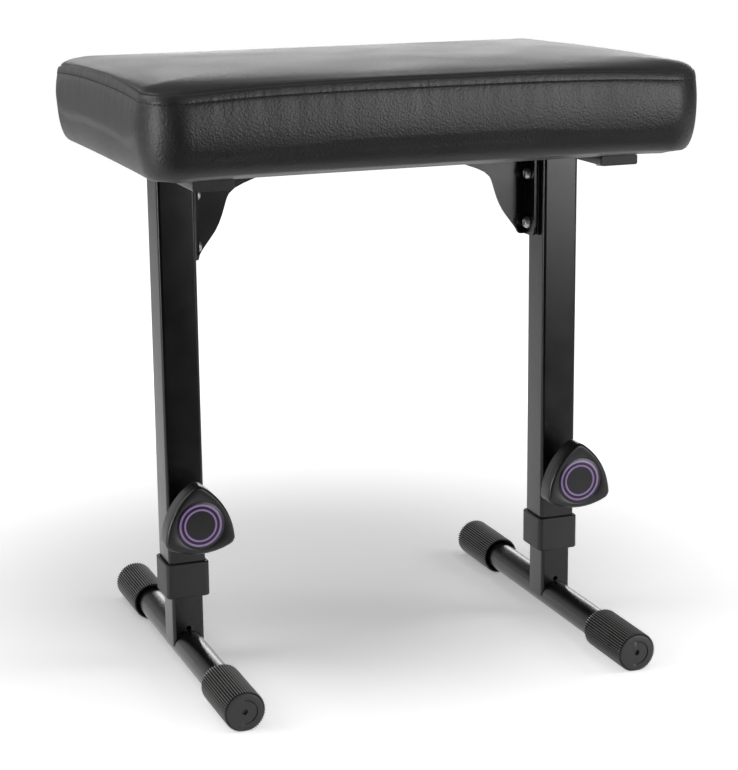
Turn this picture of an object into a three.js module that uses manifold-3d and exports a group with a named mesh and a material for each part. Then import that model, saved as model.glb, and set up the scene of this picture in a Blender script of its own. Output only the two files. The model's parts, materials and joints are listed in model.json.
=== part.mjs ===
// Keyboard bench with a padded seat on two T-shaped legs that adjust in height.
// Millimetres, +Z up. The front is at -Y, and +X is to the right as seen from there.
// The origin is on the floor, midway between the legs.

import * as THREE from 'three';
import { mergeVertices } from 'three/addons/utils/BufferGeometryUtils.js';
import Module from 'manifold-3d';

const wasm = await Module();
wasm.setup();

// Shared clearances, and how far a cutting form runs past what it cuts
const gap = 0.3;
const overrun = 2;
const mergeShare = 0.001;

// Legs: a square tube that slides in a larger one
const legInset = 62;
const upperTubeSize = 32;
const upperTubeWall = 1.5;
const upperTubeCorner = 3;
const upperTubeLength = 352.4;
const tubeClearance = 1;
const lowerTubeWall = 1.5;
const lowerTubeCorner = 2.5;
const ventRadius = 2.2;
const ventRise = 2.6;

// Plastic collar on the lower end of the upper tube
const collarFloorClearance = 60;
const collarWall = 2.2;
const collarCorner = 4;
const collarHeight = 30;
const collarLip = 3;
const collarChamfer = 0.8;

// Plastic glide in the upper end of the lower tube
const glideHead = 5;
const glideStem = 12;

// Foot bar and its ribbed rubber caps
const footLength = 341;
const footBarRadius = 12.7;
const footBarWall = 1.5;
const capWall = 4;
const capLength = 65;
const capEndWall = 6;
const capFlatDepth = 1;
const capRibCount = 48;
const capRibDepth = 0.8;
const capRimLength = 1.2;
const capRimDrop = 0.7;
const capRingRadius = 9.8;
const capRingWidth = 0.9;
const capRingDepth = 0.8;
const capDimpleRadius = 2;
const capDimpleDepth = 1.6;

// Clamp: a boss on the upper tube, a stud, a pressure pad and a three-sided knob
const clampRise = 71.6;
const bossRadius = 9;
const bossLength = 16;
const studRadius = 4;
const padRadius = 3.6;
const padLength = 5;
const knobCornerReach = 32.4;
const knobCornerRadius = 7;
const knobSideBulge = 5;
const knobDepth = 18;
const knobChamfer = 1.2;
const knobHubRadius = 14;
const knobHubHeight = 9;
const knobSocketFloor = 4.5;
const badgeMargin = 3.8;
const badgeThickness = 1.6;
const badgeChamfer = 0.4;

// Rail that joins each leg to the seat
const railHeight = 8;
const railWall = 1.5;
const railCorner = 1.5;
const railLength = 246.6;
const railPlugHead = 2;
const railPlugStem = 10;
const railScrewInset = 33.3;

// Pressed corner bracket between each leg and the seat, with a backing plate on the leg
const bracketThickness = 2.2;
const bracketReach = 86;
const bracketDrop = 83;
const bracketDepth = 23;
const bracketCorner = 8;
const bracketSeatScrewShares = [0.3, 0.75];
const backingThickness = 2;
const backingShortfall = 1.5;
const backingOverlap = 1.5;
const legBoltDropShares = [0.355, 0.867];

// The gusset's lower edge: three curves of two control points and an end, each point
// as its shares of the bracket's reach and drop, and then the rounded toe
const gussetStartShares = [1, 0.1];
const gussetCurveShares = [
  [[0.78, 0.24], [0.48, 0.27], [0.4, 0.385]],
  [[0.36, 0.44], [0.345, 0.6], [0.26, 0.74]],
  [[0.22, 0.806], [0.115, 0.93], [0.1, 0.97]],
];
const gussetToeShares = [[0.09, 1], [0.06, 1]];

// Fasteners
const boltRadius = 3;
const boltHeadRadius = 5;
const boltHeadHeight = 4.2;
const boltTail = 1.1;
const socketRadius = 2;
const socketDepth = 2;
const nutRadius = 5.8;
const nutHeight = 5;
const seatScrewRadius = 2;
const seatScrewHeadRadius = 4.2;
const seatScrewHeadHeight = 2.4;
const seatScrewBiteShare = 0.55;
const teeNutRadius = 9;
const teeNutFlange = 1.2;
const teeNutBarrelWall = 1.1;
const teeNutFloor = 1.8;

// Seat: a board, a foam pad, a sewn cover and a cloth under the board
const seatLength = 464;
const seatDepth = 326;
const seatCorner = 34;
const seatCornerLeast = 4;
const seatSideHeight = 73.3;
const seatCrown = 5;
const seatBulgeShare = 0.56;
const seatFoldHeight = 5.7;
const seatFoldInset = 13.8;
const seatBevelWidth = 24;
const seatSeamInset = 5;
const seatCornerDrop = 7.6;
const seatBackSag = 2.4;
const seatEndFall = 2.5;
const seatDrawIn = 2;
const seamDepthShare = 0.25;
const coverThickness = 1.3;
const coverLip = 12;
const boardThickness = 12;
const boardBevelLead = 0.8;
const boardMargin = 2.9;
const clothThickness = 1;

// The cover's rings: shares of a quarter turn on the sides, and of the way out on the top
const lowerRollShares = [0, 0.3, 0.62, 1];
const upperRollShares = [0.35, 0.68, 0.88, 1];
const crownShares = [0.975, 0.93, 0.86, 0.74, 0.5];
const crownPower = 8;
const cornerPower = 3;
const drawInPower = 4;
const dropFadePower = 12;
const endFallPower = 8;

// Counts of sides and steps
const roundSides = 32;
const mediumRoundSides = 24;
const smallRoundSides = 12;
const cornerSteps = 3;
const edgeSteps = 2;
const curveSteps = 6;
const knobSideSteps = 3;
const knobCornerSteps = 4;
const seatCornerSteps = 4;
const seatSidePoints = [6, 4];

// Sizes, heights and places that follow from the sizes above
const legSpacing = seatLength - 2 * legInset;
const lowerTubeSize = upperTubeSize - 2 * (upperTubeWall + tubeClearance);
const collarSize = upperTubeSize + 2 * (gap + collarWall);
const railWidth = upperTubeSize;
const capRadius = footBarRadius + gap + capWall;
const axisHeight = capRadius - capFlatDepth;
const railScrewSpacing = railLength - 2 * railScrewInset;
const upperTubeBottom = collarFloorClearance + collarLip + gap;
const upperTubeTop = upperTubeBottom + upperTubeLength;
const railBottom = upperTubeTop + gap;
const railTop = railBottom + railHeight;
const coverBottom = railTop + gap;
const boardBottom = coverBottom + coverThickness + gap;
const boardTop = boardBottom + boardThickness;
const seatBevelInset = seatFoldInset + seatBevelWidth;
const seatBulgeHeight = seatSideHeight * seatBulgeShare;
const boardInset = seatFoldInset + coverThickness + boardMargin;
const boardBevelHeight = seatFoldHeight + boardBevelLead;
const teeNutBarrelRadius = boltRadius + gap + teeNutBarrelWall;
const teeNutBarrelLength = boardThickness - teeNutFlange - teeNutFloor;
const clampHeight = upperTubeBottom + clampRise;
const bossFront = upperTubeSize / 2 + gap + bossLength;
const knobBack = bossFront + gap;
const knobFront = knobBack + knobHubHeight + knobDepth;
const knobSocketEnd = knobFront - badgeThickness - knobSocketFloor;
const knobCornerCentre = knobCornerReach - knobCornerRadius;
const knobSideReach = knobCornerCentre / 2 + knobSideBulge + knobCornerRadius;
const badgeRadius = knobSideReach - knobChamfer - badgeMargin;
const padInner = lowerTubeSize / 2 + gap;
const legInnerFace = upperTubeSize / 2;
const nutFace = legInnerFace - upperTubeWall - gap;
const flangeInner = legInnerFace + gap + backingThickness + gap;
const legBoltSeat = flangeInner + bracketThickness + gap;
const legBoltDrops = legBoltDropShares.map((share) => bracketDrop * share);
const legBoltLength = legBoltSeat - nutFace + nutHeight + boltTail;
const seatScrewReaches = bracketSeatScrewShares.map((share) => bracketReach * share);
const seatScrewTip = boardBottom + boardThickness * seatScrewBiteShare;
const screwLine = upperTubeSize / 2 - bracketDepth / 2;
const glideTop = railTop - legBoltDrops[1] - nutRadius - gap;
const lowerTubeTop = glideTop - glideHead - gap;

// Materials
const finishes = {
  paint: { color: 0x1b1b1d, roughness: 0.35, metalness: 0.4 },
  plastic: { color: 0x202022, roughness: 0.55, metalness: 0 },
  rubber: { color: 0x2a2a2c, roughness: 0.8, metalness: 0 },
  badge: { color: 0x8d78a8, roughness: 0.45, metalness: 0 },
  nylon: { color: 0xd8d6cc, roughness: 0.6, metalness: 0 },
  zinc: { color: 0xa9abad, roughness: 0.35, metalness: 0.9 },
  vinyl: { color: 0x1a1a1c, roughness: 0.5, metalness: 0 },
  foam: { color: 0xd9c878, roughness: 0.95, metalness: 0 },
  plywood: { color: 0xb08a58, roughness: 0.8, metalness: 0 },
  cloth: { color: 0x161616, roughness: 0.95, metalness: 0 },
};

const bench = new THREE.Group();

function place(name, geometry, finish, parent, x = 0, y = 0, z = 0) {
  const mesh = new THREE.Mesh(geometry, new THREE.MeshStandardMaterial(finishes[finish]));
  mesh.name = name;
  mesh.position.set(x, y, z);
  parent.add(mesh);
  return mesh;
}

// Booleans on closed geometries
function solidOf(geometry) {
  const bare = geometry.clone();
  for (const key of Object.keys(bare.attributes)) {
    if (key !== 'position') bare.deleteAttribute(key);
  }
  const merged = mergeVertices(bare, gap * mergeShare);
  const mesh = new wasm.Mesh({
    numProp: 3,
    vertProperties: Float32Array.from(merged.attributes.position.array),
    triVerts: Uint32Array.from(merged.index.array),
  });
  return new wasm.Manifold(mesh);
}

function geometryOf(solid) {
  const mesh = solid.getMesh();
  const geometry = new THREE.BufferGeometry();
  geometry.setAttribute('position', new THREE.BufferAttribute(Float32Array.from(mesh.vertProperties), 3));
  geometry.setIndex(new THREE.BufferAttribute(Uint32Array.from(mesh.triVerts), 1));
  return geometry;
}

function cut(geometry, ...tools) {
  return geometryOf(tools.reduce((solid, tool) => solid.subtract(solidOf(tool)), solidOf(geometry)));
}

function join(geometry, ...others) {
  return geometryOf(others.reduce((solid, other) => solid.add(solidOf(other)), solidOf(geometry)));
}

// Basic forms, each placed by its own named sizes
function block(xs, ys, zs) {
  const form = new THREE.BoxGeometry(xs[1] - xs[0], ys[1] - ys[0], zs[1] - zs[0]);
  return form.translate((xs[0] + xs[1]) / 2, (ys[0] + ys[1]) / 2, (zs[0] + zs[1]) / 2);
}

function rodAlong(axis, radius, from, to, sides = smallRoundSides) {
  const form = new THREE.CylinderGeometry(radius, radius, to - from, sides);
  form.translate(0, (from + to) / 2, 0);
  if (axis === 'x') form.rotateZ(-Math.PI / 2);
  if (axis === 'z') form.rotateX(Math.PI / 2);
  return form;
}

// Corner arcs joined by straight sides, each side with some points between
function roundedRectangle(width, height, radius, steps = cornerSteps, between = [0, 0]) {
  const corners = [[1, 1], [-1, 1], [-1, -1], [1, -1]];
  const outline = [];
  corners.forEach((signs, corner) => {
    const at = ([sx, sy], turn) => new THREE.Vector2(
      sx * (width / 2 - radius) + radius * Math.cos((turn * Math.PI) / 2),
      sy * (height / 2 - radius) + radius * Math.sin((turn * Math.PI) / 2),
    );
    for (let step = 0; step <= steps; step += 1) outline.push(at(signs, corner + step / steps));
    const count = between[corner % 2];
    const start = at(signs, corner + 1);
    const end = at(corners[(corner + 1) % corners.length], corner + 1);
    for (let step = 1; step <= count; step += 1) {
      outline.push(start.clone().lerp(end, step / (count + 1)));
    }
  });
  return outline;
}

function circle(radius, sides) {
  return Array.from({ length: sides }, (item, step) => {
    const angle = (step * 2 * Math.PI) / sides;
    return new THREE.Vector2(radius * Math.cos(angle), radius * Math.sin(angle));
  });
}

function plate(outline, thickness, holes = []) {
  const shape = new THREE.Shape(outline);
  holes.forEach((hole) => shape.holes.push(new THREE.Path(hole)));
  return new THREE.ExtrudeGeometry(shape, { depth: thickness, bevelEnabled: false });
}

// An inner corner is the outer one less the wall, and never quite sharp
function innerCorner(corner, wall) {
  return Math.max(corner - wall, gap);
}

function squareTube(size, wall, corner, length) {
  const inside = size - 2 * wall;
  const outer = roundedRectangle(size, size, corner);
  const inner = roundedRectangle(inside, inside, innerCorner(corner, wall));
  return plate(outer, length, [inner]);
}

function turned(profile, sides = smallRoundSides) {
  const points = profile.map(([radius, height]) => new THREE.Vector2(radius, height));
  return new THREE.LatheGeometry(points, sides).rotateX(Math.PI / 2);
}

// A closed form through rings of equal counts, closed by one point at each end
function ringForm(rings, start, end) {
  const count = rings[0].length;
  const points = [start, ...rings.flat(), end];
  const faces = [];
  const at = (ring, index) => 1 + ring * count + (index % count);
  for (let index = 0; index < count; index += 1) {
    faces.push(0, at(0, index + 1), at(0, index));
    faces.push(points.length - 1, at(rings.length - 1, index), at(rings.length - 1, index + 1));
    for (let ring = 0; ring + 1 < rings.length; ring += 1) {
      faces.push(at(ring, index), at(ring, index + 1), at(ring + 1, index + 1));
      faces.push(at(ring, index), at(ring + 1, index + 1), at(ring + 1, index));
    }
  }
  const geometry = new THREE.BufferGeometry();
  geometry.setAttribute('position', new THREE.Float32BufferAttribute(points.flat(), 3));
  geometry.setIndex(faces);
  return geometry;
}

// Fasteners, pointing along +Z with the head's underside at the origin
function capScrew(radius, headRadius, headHeight, length) {
  const body = turned([
    [0, -headHeight],
    [headRadius - radius / 2, -headHeight],
    [headRadius, -headHeight / 2],
    [headRadius, 0],
    [radius, 0],
    [radius, length],
    [0, length],
  ]);
  const socket = new THREE.CylinderGeometry(socketRadius, socketRadius, 2 * socketDepth, 6);
  return cut(body, socket.rotateX(Math.PI / 2).translate(0, 0, -headHeight));
}

function hexNut(radius, height, bore) {
  const body = new THREE.CylinderGeometry(radius, radius, height, 6).rotateX(Math.PI / 2);
  return cut(body, rodAlong('z', bore, -height, height));
}

function teeNut() {
  const bore = boltRadius + gap;
  const top = teeNutBarrelLength + teeNutFlange;
  return turned([
    [bore, 0],
    [teeNutBarrelRadius, 0],
    [teeNutBarrelRadius, teeNutBarrelLength],
    [teeNutRadius, teeNutBarrelLength],
    [teeNutRadius, top],
    [bore, top],
    [bore, 0],
  ]);
}

// The places of the screws under the seat, one list for the rails and one for the brackets
const railScrewPlaces = [];
const seatScrewPlaces = [];
for (const side of [-1, 1]) {
  const x = (side * legSpacing) / 2;
  for (const end of [-1, 1]) railScrewPlaces.push([x, (end * railScrewSpacing) / 2]);
  for (const reach of seatScrewReaches) seatScrewPlaces.push([x - side * (flangeInner + reach), screwLine]);
}

function holesAt(places, radius, from, to) {
  return places.map(([x, y]) => rodAlong('z', radius, from, to).translate(x, y, 0));
}

// A ring of the seat's surface: the seat's outline moved in by an inset, at one height.
// Shares say how much of the corner drop, the sag at the back and the fall of the ends it takes.
function seatRing(inset, height, shares = {}) {
  const { drop = 0, sag = 0, fall = 0, scale = 1 } = shares;
  const width = seatLength - 2 * inset;
  const depth = seatDepth - 2 * inset;
  const radius = Math.max(seatCorner - inset, seatCornerLeast);
  const outline = roundedRectangle(width, depth, radius, seatCornerSteps, seatSidePoints);
  return outline.map((point) => {
    const u = (2 * point.x) / width;
    const v = (2 * point.y) / depth;
    const drawX = seatDrawIn * (1 - v * v) * Math.abs(u) ** drawInPower * Math.sign(u);
    const drawY = seatDrawIn * (1 - u * u) * Math.abs(v) ** drawInPower * Math.sign(v);
    const corner = seatCornerDrop * Math.abs(u * v) ** cornerPower * drop;
    const back = seatBackSag * ((1 + v * scale) / 2) ** 2 * sag;
    const end = seatEndFall * Math.abs(u) ** endFallPower * fall;
    const z = coverBottom + height - corner - back - end;
    return [(point.x - drawX) * scale, (point.y - drawY) * scale, z];
  });
}

// Rings of the side, from the fold under the edge up to the seam, moved in by a depth
function sideRings(depth) {
  const rings = [];
  const quarter = Math.PI / 2;
  lowerRollShares.forEach((share) => {
    const sine = Math.sin(share * quarter);
    const cosine = Math.cos(share * quarter);
    const height = seatFoldHeight + (seatBulgeHeight - seatFoldHeight) * (1 - cosine);
    const inset = seatFoldInset * (1 - sine) + depth * sine;
    rings.push(seatRing(inset, height + depth * cosine, { fall: cosine }));
  });
  upperRollShares.forEach((share) => {
    const sine = Math.sin(share * quarter);
    const cosine = Math.cos(share * quarter);
    const height = seatBulgeHeight + (seatSideHeight - seatBulgeHeight) * sine;
    const inset = seatSeamInset * (1 - cosine) + depth * Math.max(cosine, seamDepthShare);
    rings.push(seatRing(inset, height - depth * sine, { drop: sine, sag: sine }));
  });
  return rings;
}

function crownRings(depth) {
  const edge = seatSeamInset + depth * seamDepthShare;
  return crownShares.map((share) => {
    const rise = seatCrown * (1 - share ** crownPower);
    const shares = { drop: share ** dropFadePower, sag: 1, scale: share };
    return seatRing(edge, seatSideHeight + rise - depth, shares);
  });
}

function crownTop(depth) {
  return [0, 0, coverBottom + seatSideHeight + seatCrown - seatBackSag / 4 - depth];
}

// A shell that is open below, with a lip folded under the board where the screws pass
function seatCover() {
  const lipInset = seatBevelInset + coverLip;
  const surface = (depth) => [
    seatRing(lipInset, depth),
    seatRing(seatBevelInset, depth),
    ...sideRings(depth),
    ...crownRings(depth),
  ];
  const rings = [...surface(coverThickness).reverse(), ...surface(0)];
  const shell = ringForm(rings, crownTop(coverThickness), crownTop(0));
  return cut(
    shell,
    ...holesAt(railScrewPlaces, boltRadius + gap, railTop, boardBottom),
    ...holesAt(seatScrewPlaces, seatScrewRadius + gap, railTop, boardBottom),
  );
}

// The foam fills the cover above the board
function seatFoam() {
  const depth = coverThickness + 2 * gap;
  const bottom = boardTop + gap;
  const rings = [...sideRings(depth), ...crownRings(depth)];
  const first = rings.findIndex((ring) => ring[0][2] > bottom);
  const start = rings[first].map((above, index) => {
    const below = rings[first - 1][index];
    const share = (bottom - below[2]) / (above[2] - below[2]);
    return above.map((value, axis) => below[axis] + (value - below[axis]) * share);
  });
  return ringForm([start, ...rings.slice(first)], [0, 0, bottom], crownTop(depth));
}

function seatBoard() {
  const bevelled = seatRing(seatBevelInset + coverThickness + gap, boardBottom - coverBottom);
  const shoulder = seatRing(boardInset, boardBottom + boardBevelHeight - coverBottom);
  const top = seatRing(boardInset, boardTop - coverBottom);
  const body = ringForm([bevelled, shoulder, top], [0, 0, boardBottom], [0, 0, boardTop]);
  const flangeBottom = boardTop - teeNutFlange - gap;
  return cut(
    body,
    ...holesAt(railScrewPlaces, teeNutBarrelRadius + gap, boardBottom - overrun, boardTop + overrun),
    ...holesAt(railScrewPlaces, teeNutRadius + gap, flangeBottom, boardTop + overrun),
    ...holesAt(seatScrewPlaces, seatScrewRadius + gap, boardBottom - overrun, seatScrewTip + gap),
  );
}

function dustCloth() {
  const inset = seatBevelInset + coverLip + clothThickness;
  const rings = [seatRing(inset, 0), seatRing(inset, clothThickness)];
  const sheet = ringForm(rings, [0, 0, coverBottom], [0, 0, coverBottom + clothThickness]);
  return cut(
    sheet,
    ...holesAt(railScrewPlaces, boltRadius + gap, railTop, boardBottom),
    ...holesAt(seatScrewPlaces, seatScrewRadius + gap, railTop, boardBottom),
  );
}

// Rail, its end plugs and its screws
function railSection(width, height) {
  return roundedRectangle(width, height, railCorner, edgeSteps);
}

function rail() {
  const outer = railSection(railWidth, railHeight);
  const inner = railSection(railWidth - 2 * railWall, railHeight - 2 * railWall);
  const length = railLength - 2 * (railPlugHead + gap);
  const body = plate(outer, length, [inner]).rotateX(Math.PI / 2).translate(0, length / 2, railHeight / 2);
  const holes = [-1, 1].map((end) => {
    const hole = rodAlong('z', boltRadius + gap, -overrun, railHeight + overrun);
    return hole.translate(0, (end * railScrewSpacing) / 2, 0);
  });
  return cut(body, ...holes);
}

function railPlug() {
  const head = plate(railSection(railWidth, railHeight), railPlugHead);
  const fit = 2 * (railWall + gap);
  const stem = plate(railSection(railWidth - fit, railHeight - fit), railPlugStem + railPlugHead / 2);
  const body = join(head, stem.translate(0, 0, -railPlugStem));
  return body.rotateX(Math.PI / 2).translate(0, 0, railHeight / 2);
}

// Corner bracket: a shaped plate with one flange on the leg and one under the seat
function gussetOutline(inboard) {
  const at = ([reachShare, dropShare]) => [inboard * bracketReach * reachShare, -bracketDrop * dropShare];
  const shape = new THREE.Shape();
  shape.moveTo(0, 0);
  shape.lineTo(...at([gussetStartShares[0], 0]));
  shape.lineTo(...at(gussetStartShares));
  gussetCurveShares.forEach((curve) => shape.bezierCurveTo(...curve.flatMap(at)));
  shape.quadraticCurveTo(...gussetToeShares.flatMap(at));
  shape.lineTo(0, -bracketDrop);
  return shape.getPoints(curveSteps);
}

function bracket(inboard) {
  const back = upperTubeSize / 2;
  const front = back - bracketDepth;
  const gusset = plate(gussetOutline(inboard), bracketThickness).rotateX(Math.PI / 2).translate(0, back, 0);
  const underSeat = block(
    [0, inboard * bracketReach].sort((a, b) => a - b),
    [front, back],
    [-bracketThickness, 0],
  );
  const flangeShape = new THREE.Shape();
  flangeShape.moveTo(back, 0);
  flangeShape.lineTo(front, 0);
  flangeShape.lineTo(front, bracketCorner - bracketDrop);
  flangeShape.quadraticCurveTo(front, -bracketDrop, front + bracketCorner, -bracketDrop);
  flangeShape.lineTo(back, -bracketDrop);
  const flange = plate(flangeShape.getPoints(cornerSteps), bracketThickness);
  flange.rotateX(Math.PI / 2).rotateZ(Math.PI / 2);
  flange.translate(inboard > 0 ? 0 : -bracketThickness, 0, 0);
  const holes = legBoltDrops.map((dropHere) => {
    const span = bracketThickness + overrun;
    return rodAlong('x', boltRadius + gap, -span, span).translate(0, screwLine, -dropHere);
  });
  seatScrewReaches.forEach((reach) => {
    const hole = rodAlong('z', seatScrewRadius + gap, -bracketThickness - overrun, overrun);
    holes.push(hole.translate(inboard * reach, screwLine, 0));
  });
  return cut(join(gusset, underSeat, flange), ...holes);
}

function backingPlate() {
  const back = upperTubeSize / 2;
  const drop = railHeight + gap;
  const body = block(
    [-backingThickness / 2, backingThickness / 2],
    [back - bracketDepth - backingOverlap, back],
    [backingShortfall - bracketDrop, -drop],
  );
  const holes = legBoltDrops.map((dropHere) => {
    const hole = rodAlong('x', boltRadius + gap, -overrun, overrun);
    return hole.translate(0, screwLine, -dropHere);
  });
  return cut(body, ...holes);
}

// Tubes of a leg, drawn from their lower ends
function upperTube(inboard) {
  const body = squareTube(upperTubeSize, upperTubeWall, upperTubeCorner, upperTubeLength);
  const holes = legBoltDrops.map((dropHere) => {
    const hole = rodAlong('x', boltRadius + gap, 0, upperTubeSize);
    if (inboard < 0) hole.rotateZ(Math.PI);
    return hole.translate(0, screwLine, railTop - dropHere - upperTubeBottom);
  });
  const clampHole = rodAlong('y', studRadius + gap, -upperTubeSize, 0);
  holes.push(clampHole.translate(0, 0, clampRise));
  return cut(body, ...holes);
}

function collar() {
  const inside = upperTubeSize + 2 * gap;
  const throat = lowerTubeSize + 2 * gap;
  const wide = roundedRectangle(collarSize, collarSize, collarCorner);
  const narrowSize = collarSize - 2 * collarChamfer;
  const narrow = roundedRectangle(narrowSize, narrowSize, collarCorner - collarChamfer);
  const level = (outline, height) => outline.map((point) => [point.x, point.y, height]);
  const rings = [
    level(narrow, 0),
    level(wide, collarChamfer),
    level(wide, collarHeight - collarChamfer),
    level(narrow, collarHeight),
  ];
  const body = ringForm(rings, [0, 0, 0], [0, 0, collarHeight]);
  const pocket = plate(roundedRectangle(inside, inside, upperTubeCorner), collarHeight);
  pocket.translate(0, 0, collarLip);
  const mouth = plate(roundedRectangle(throat, throat, lowerTubeCorner), collarHeight);
  mouth.translate(0, 0, -overrun);
  return cut(body, pocket, mouth);
}

function lowerTube() {
  const length = lowerTubeTop - axisHeight;
  const body = squareTube(lowerTubeSize, lowerTubeWall, lowerTubeCorner, length);
  const cope = rodAlong('y', footBarRadius + gap, -lowerTubeSize, lowerTubeSize, roundSides);
  const vent = rodAlong('y', ventRadius, -lowerTubeSize, 0, smallRoundSides);
  return cut(body, cope, vent.translate(0, 0, footBarRadius + ventRise));
}

function glide() {
  const headSize = upperTubeSize - 2 * (upperTubeWall + gap);
  const stemSize = lowerTubeSize - 2 * (lowerTubeWall + gap);
  const headCorner = innerCorner(upperTubeCorner, upperTubeWall);
  const stemCorner = innerCorner(lowerTubeCorner, lowerTubeWall);
  const head = plate(roundedRectangle(headSize, headSize, headCorner), glideHead);
  const stem = plate(roundedRectangle(stemSize, stemSize, stemCorner), glideStem + glideHead / 2);
  return join(head, stem.translate(0, 0, -glideStem));
}

// Foot bar and ribbed cap
function footBar() {
  const length = footLength - 2 * (capEndWall + gap);
  const inner = circle(footBarRadius - footBarWall, roundSides);
  const tube = plate(circle(footBarRadius, roundSides), length, [inner]);
  return tube.rotateX(Math.PI / 2).translate(0, length / 2, 0);
}

function ribbedOutline() {
  const outline = circle(capRadius, 2 * capRibCount);
  return outline.map((point, step) => (step % 2 ? point.setLength(capRadius - capRibDepth) : point));
}

// The cap points along -Y: its mouth is at +Y and its end face at the origin
function footCap() {
  const grip = plate(ribbedOutline(), capLength - capRimLength).rotateX(Math.PI / 2);
  grip.translate(0, capLength, 0);
  const rimRadius = capRadius - capRibDepth;
  const rimEnd = rimRadius - capRimDrop;
  const rim = new THREE.CylinderGeometry(rimRadius, rimEnd, 2 * capRimLength, mediumRoundSides);
  rim.translate(0, capRimLength, 0);
  const boreRadius = (footBarRadius + gap) / Math.cos(Math.PI / mediumRoundSides);
  const bore = rodAlong('y', boreRadius, capEndWall, capLength + overrun, mediumRoundSides);
  const ringIn = capRingRadius - capRingWidth / 2;
  const ringOut = capRingRadius + capRingWidth / 2;
  const ring = turned([
    [ringIn, -capRingDepth],
    [ringOut, -capRingDepth],
    [ringOut, capRingDepth],
    [ringIn, capRingDepth],
    [ringIn, -capRingDepth],
  ], mediumRoundSides).rotateX(Math.PI / 2);
  const dimple = rodAlong('y', capDimpleRadius, -capDimpleDepth, capDimpleDepth);
  const floor = block(
    [-2 * capRadius, 2 * capRadius],
    [-overrun, capLength + overrun],
    [-2 * capRadius, -axisHeight],
  );
  return cut(join(grip, rim), bore, ring, dimple, floor);
}

// Clamp pieces, all along -Y from the leg's centre line
function boss() {
  const body = rodAlong('y', bossRadius, -bossFront, -upperTubeSize / 2 - gap, roundSides);
  return cut(body, rodAlong('y', studRadius + gap, -bossFront - overrun, 0));
}

function pad() {
  return rodAlong('y', padRadius, -padInner - padLength, -padInner);
}

function stud() {
  const inner = padInner + padLength + gap;
  return rodAlong('y', studRadius, gap - knobSocketEnd, -inner);
}

// Three corner arcs joined by three shallow side arcs that meet them smoothly
function knobOutline(inset) {
  const cornerRadius = knobCornerRadius - inset;
  const cornerReach = knobSideReach - knobCornerRadius;
  const sideCentre = (knobCornerCentre ** 2 - cornerReach ** 2) / (2 * knobSideBulge);
  const sideRadius = knobSideReach + sideCentre - inset;
  const rise = knobCornerCentre * Math.sin(Math.PI / 3);
  const half = Math.atan2(rise, sideCentre + knobCornerCentre / 2);
  const third = (2 * Math.PI) / 3;
  const turn = third / 2 - half;
  const arc = (direction, centre, radius, sweep, steps) => {
    const middle = new THREE.Vector2(centre * Math.cos(direction), centre * Math.sin(direction));
    return Array.from({ length: steps }, (item, step) => {
      const angle = direction - sweep + (2 * sweep * step) / steps;
      return new THREE.Vector2(Math.cos(angle), Math.sin(angle)).multiplyScalar(radius).add(middle);
    });
  };
  return [0, 1, 2].flatMap((corner) => {
    const vertex = Math.PI / 2 + corner * third;
    return [
      ...arc(vertex - third / 2, -sideCentre, sideRadius, half, 2 * knobSideSteps),
      ...arc(vertex, knobCornerCentre, cornerRadius, turn, knobCornerSteps),
    ];
  });
}

// The knob stands on its back at y = -knobBack; its outline is drawn in X and Z
function knob() {
  const level = (inset, y) => knobOutline(inset).map((point) => [point.x, y, point.y]);
  const back = -knobBack - knobHubHeight;
  const front = -knobFront;
  const rings = [
    level(knobChamfer, back),
    level(0, back - knobChamfer),
    level(0, front + knobChamfer),
    level(knobChamfer, front),
  ];
  const body = ringForm(rings, [0, back, 0], [0, front, 0]);
  const hub = rodAlong('y', knobHubRadius, back - knobChamfer, -knobBack, roundSides);
  const recess = rodAlong('y', badgeRadius + gap, front - overrun, front + badgeThickness, roundSides);
  const socket = rodAlong('y', studRadius + gap, -knobSocketEnd, 0);
  return cut(join(body, hub), recess, socket);
}

function badge() {
  const back = badgeThickness - gap;
  const disc = turned([
    [0, 0],
    [badgeRadius, 0],
    [badgeRadius, back - badgeChamfer],
    [badgeRadius - badgeChamfer, back],
    [0, back],
  ], roundSides);
  return disc.rotateX(Math.PI / 2).translate(0, -knobFront + back, 0);
}

// Seat group
place('seat_cover', seatCover(), 'vinyl', bench);
place('seat_foam', seatFoam(), 'foam', bench);
place('seat_board', seatBoard(), 'plywood', bench);
place('dust_cloth', dustCloth(), 'cloth', bench);

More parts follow.
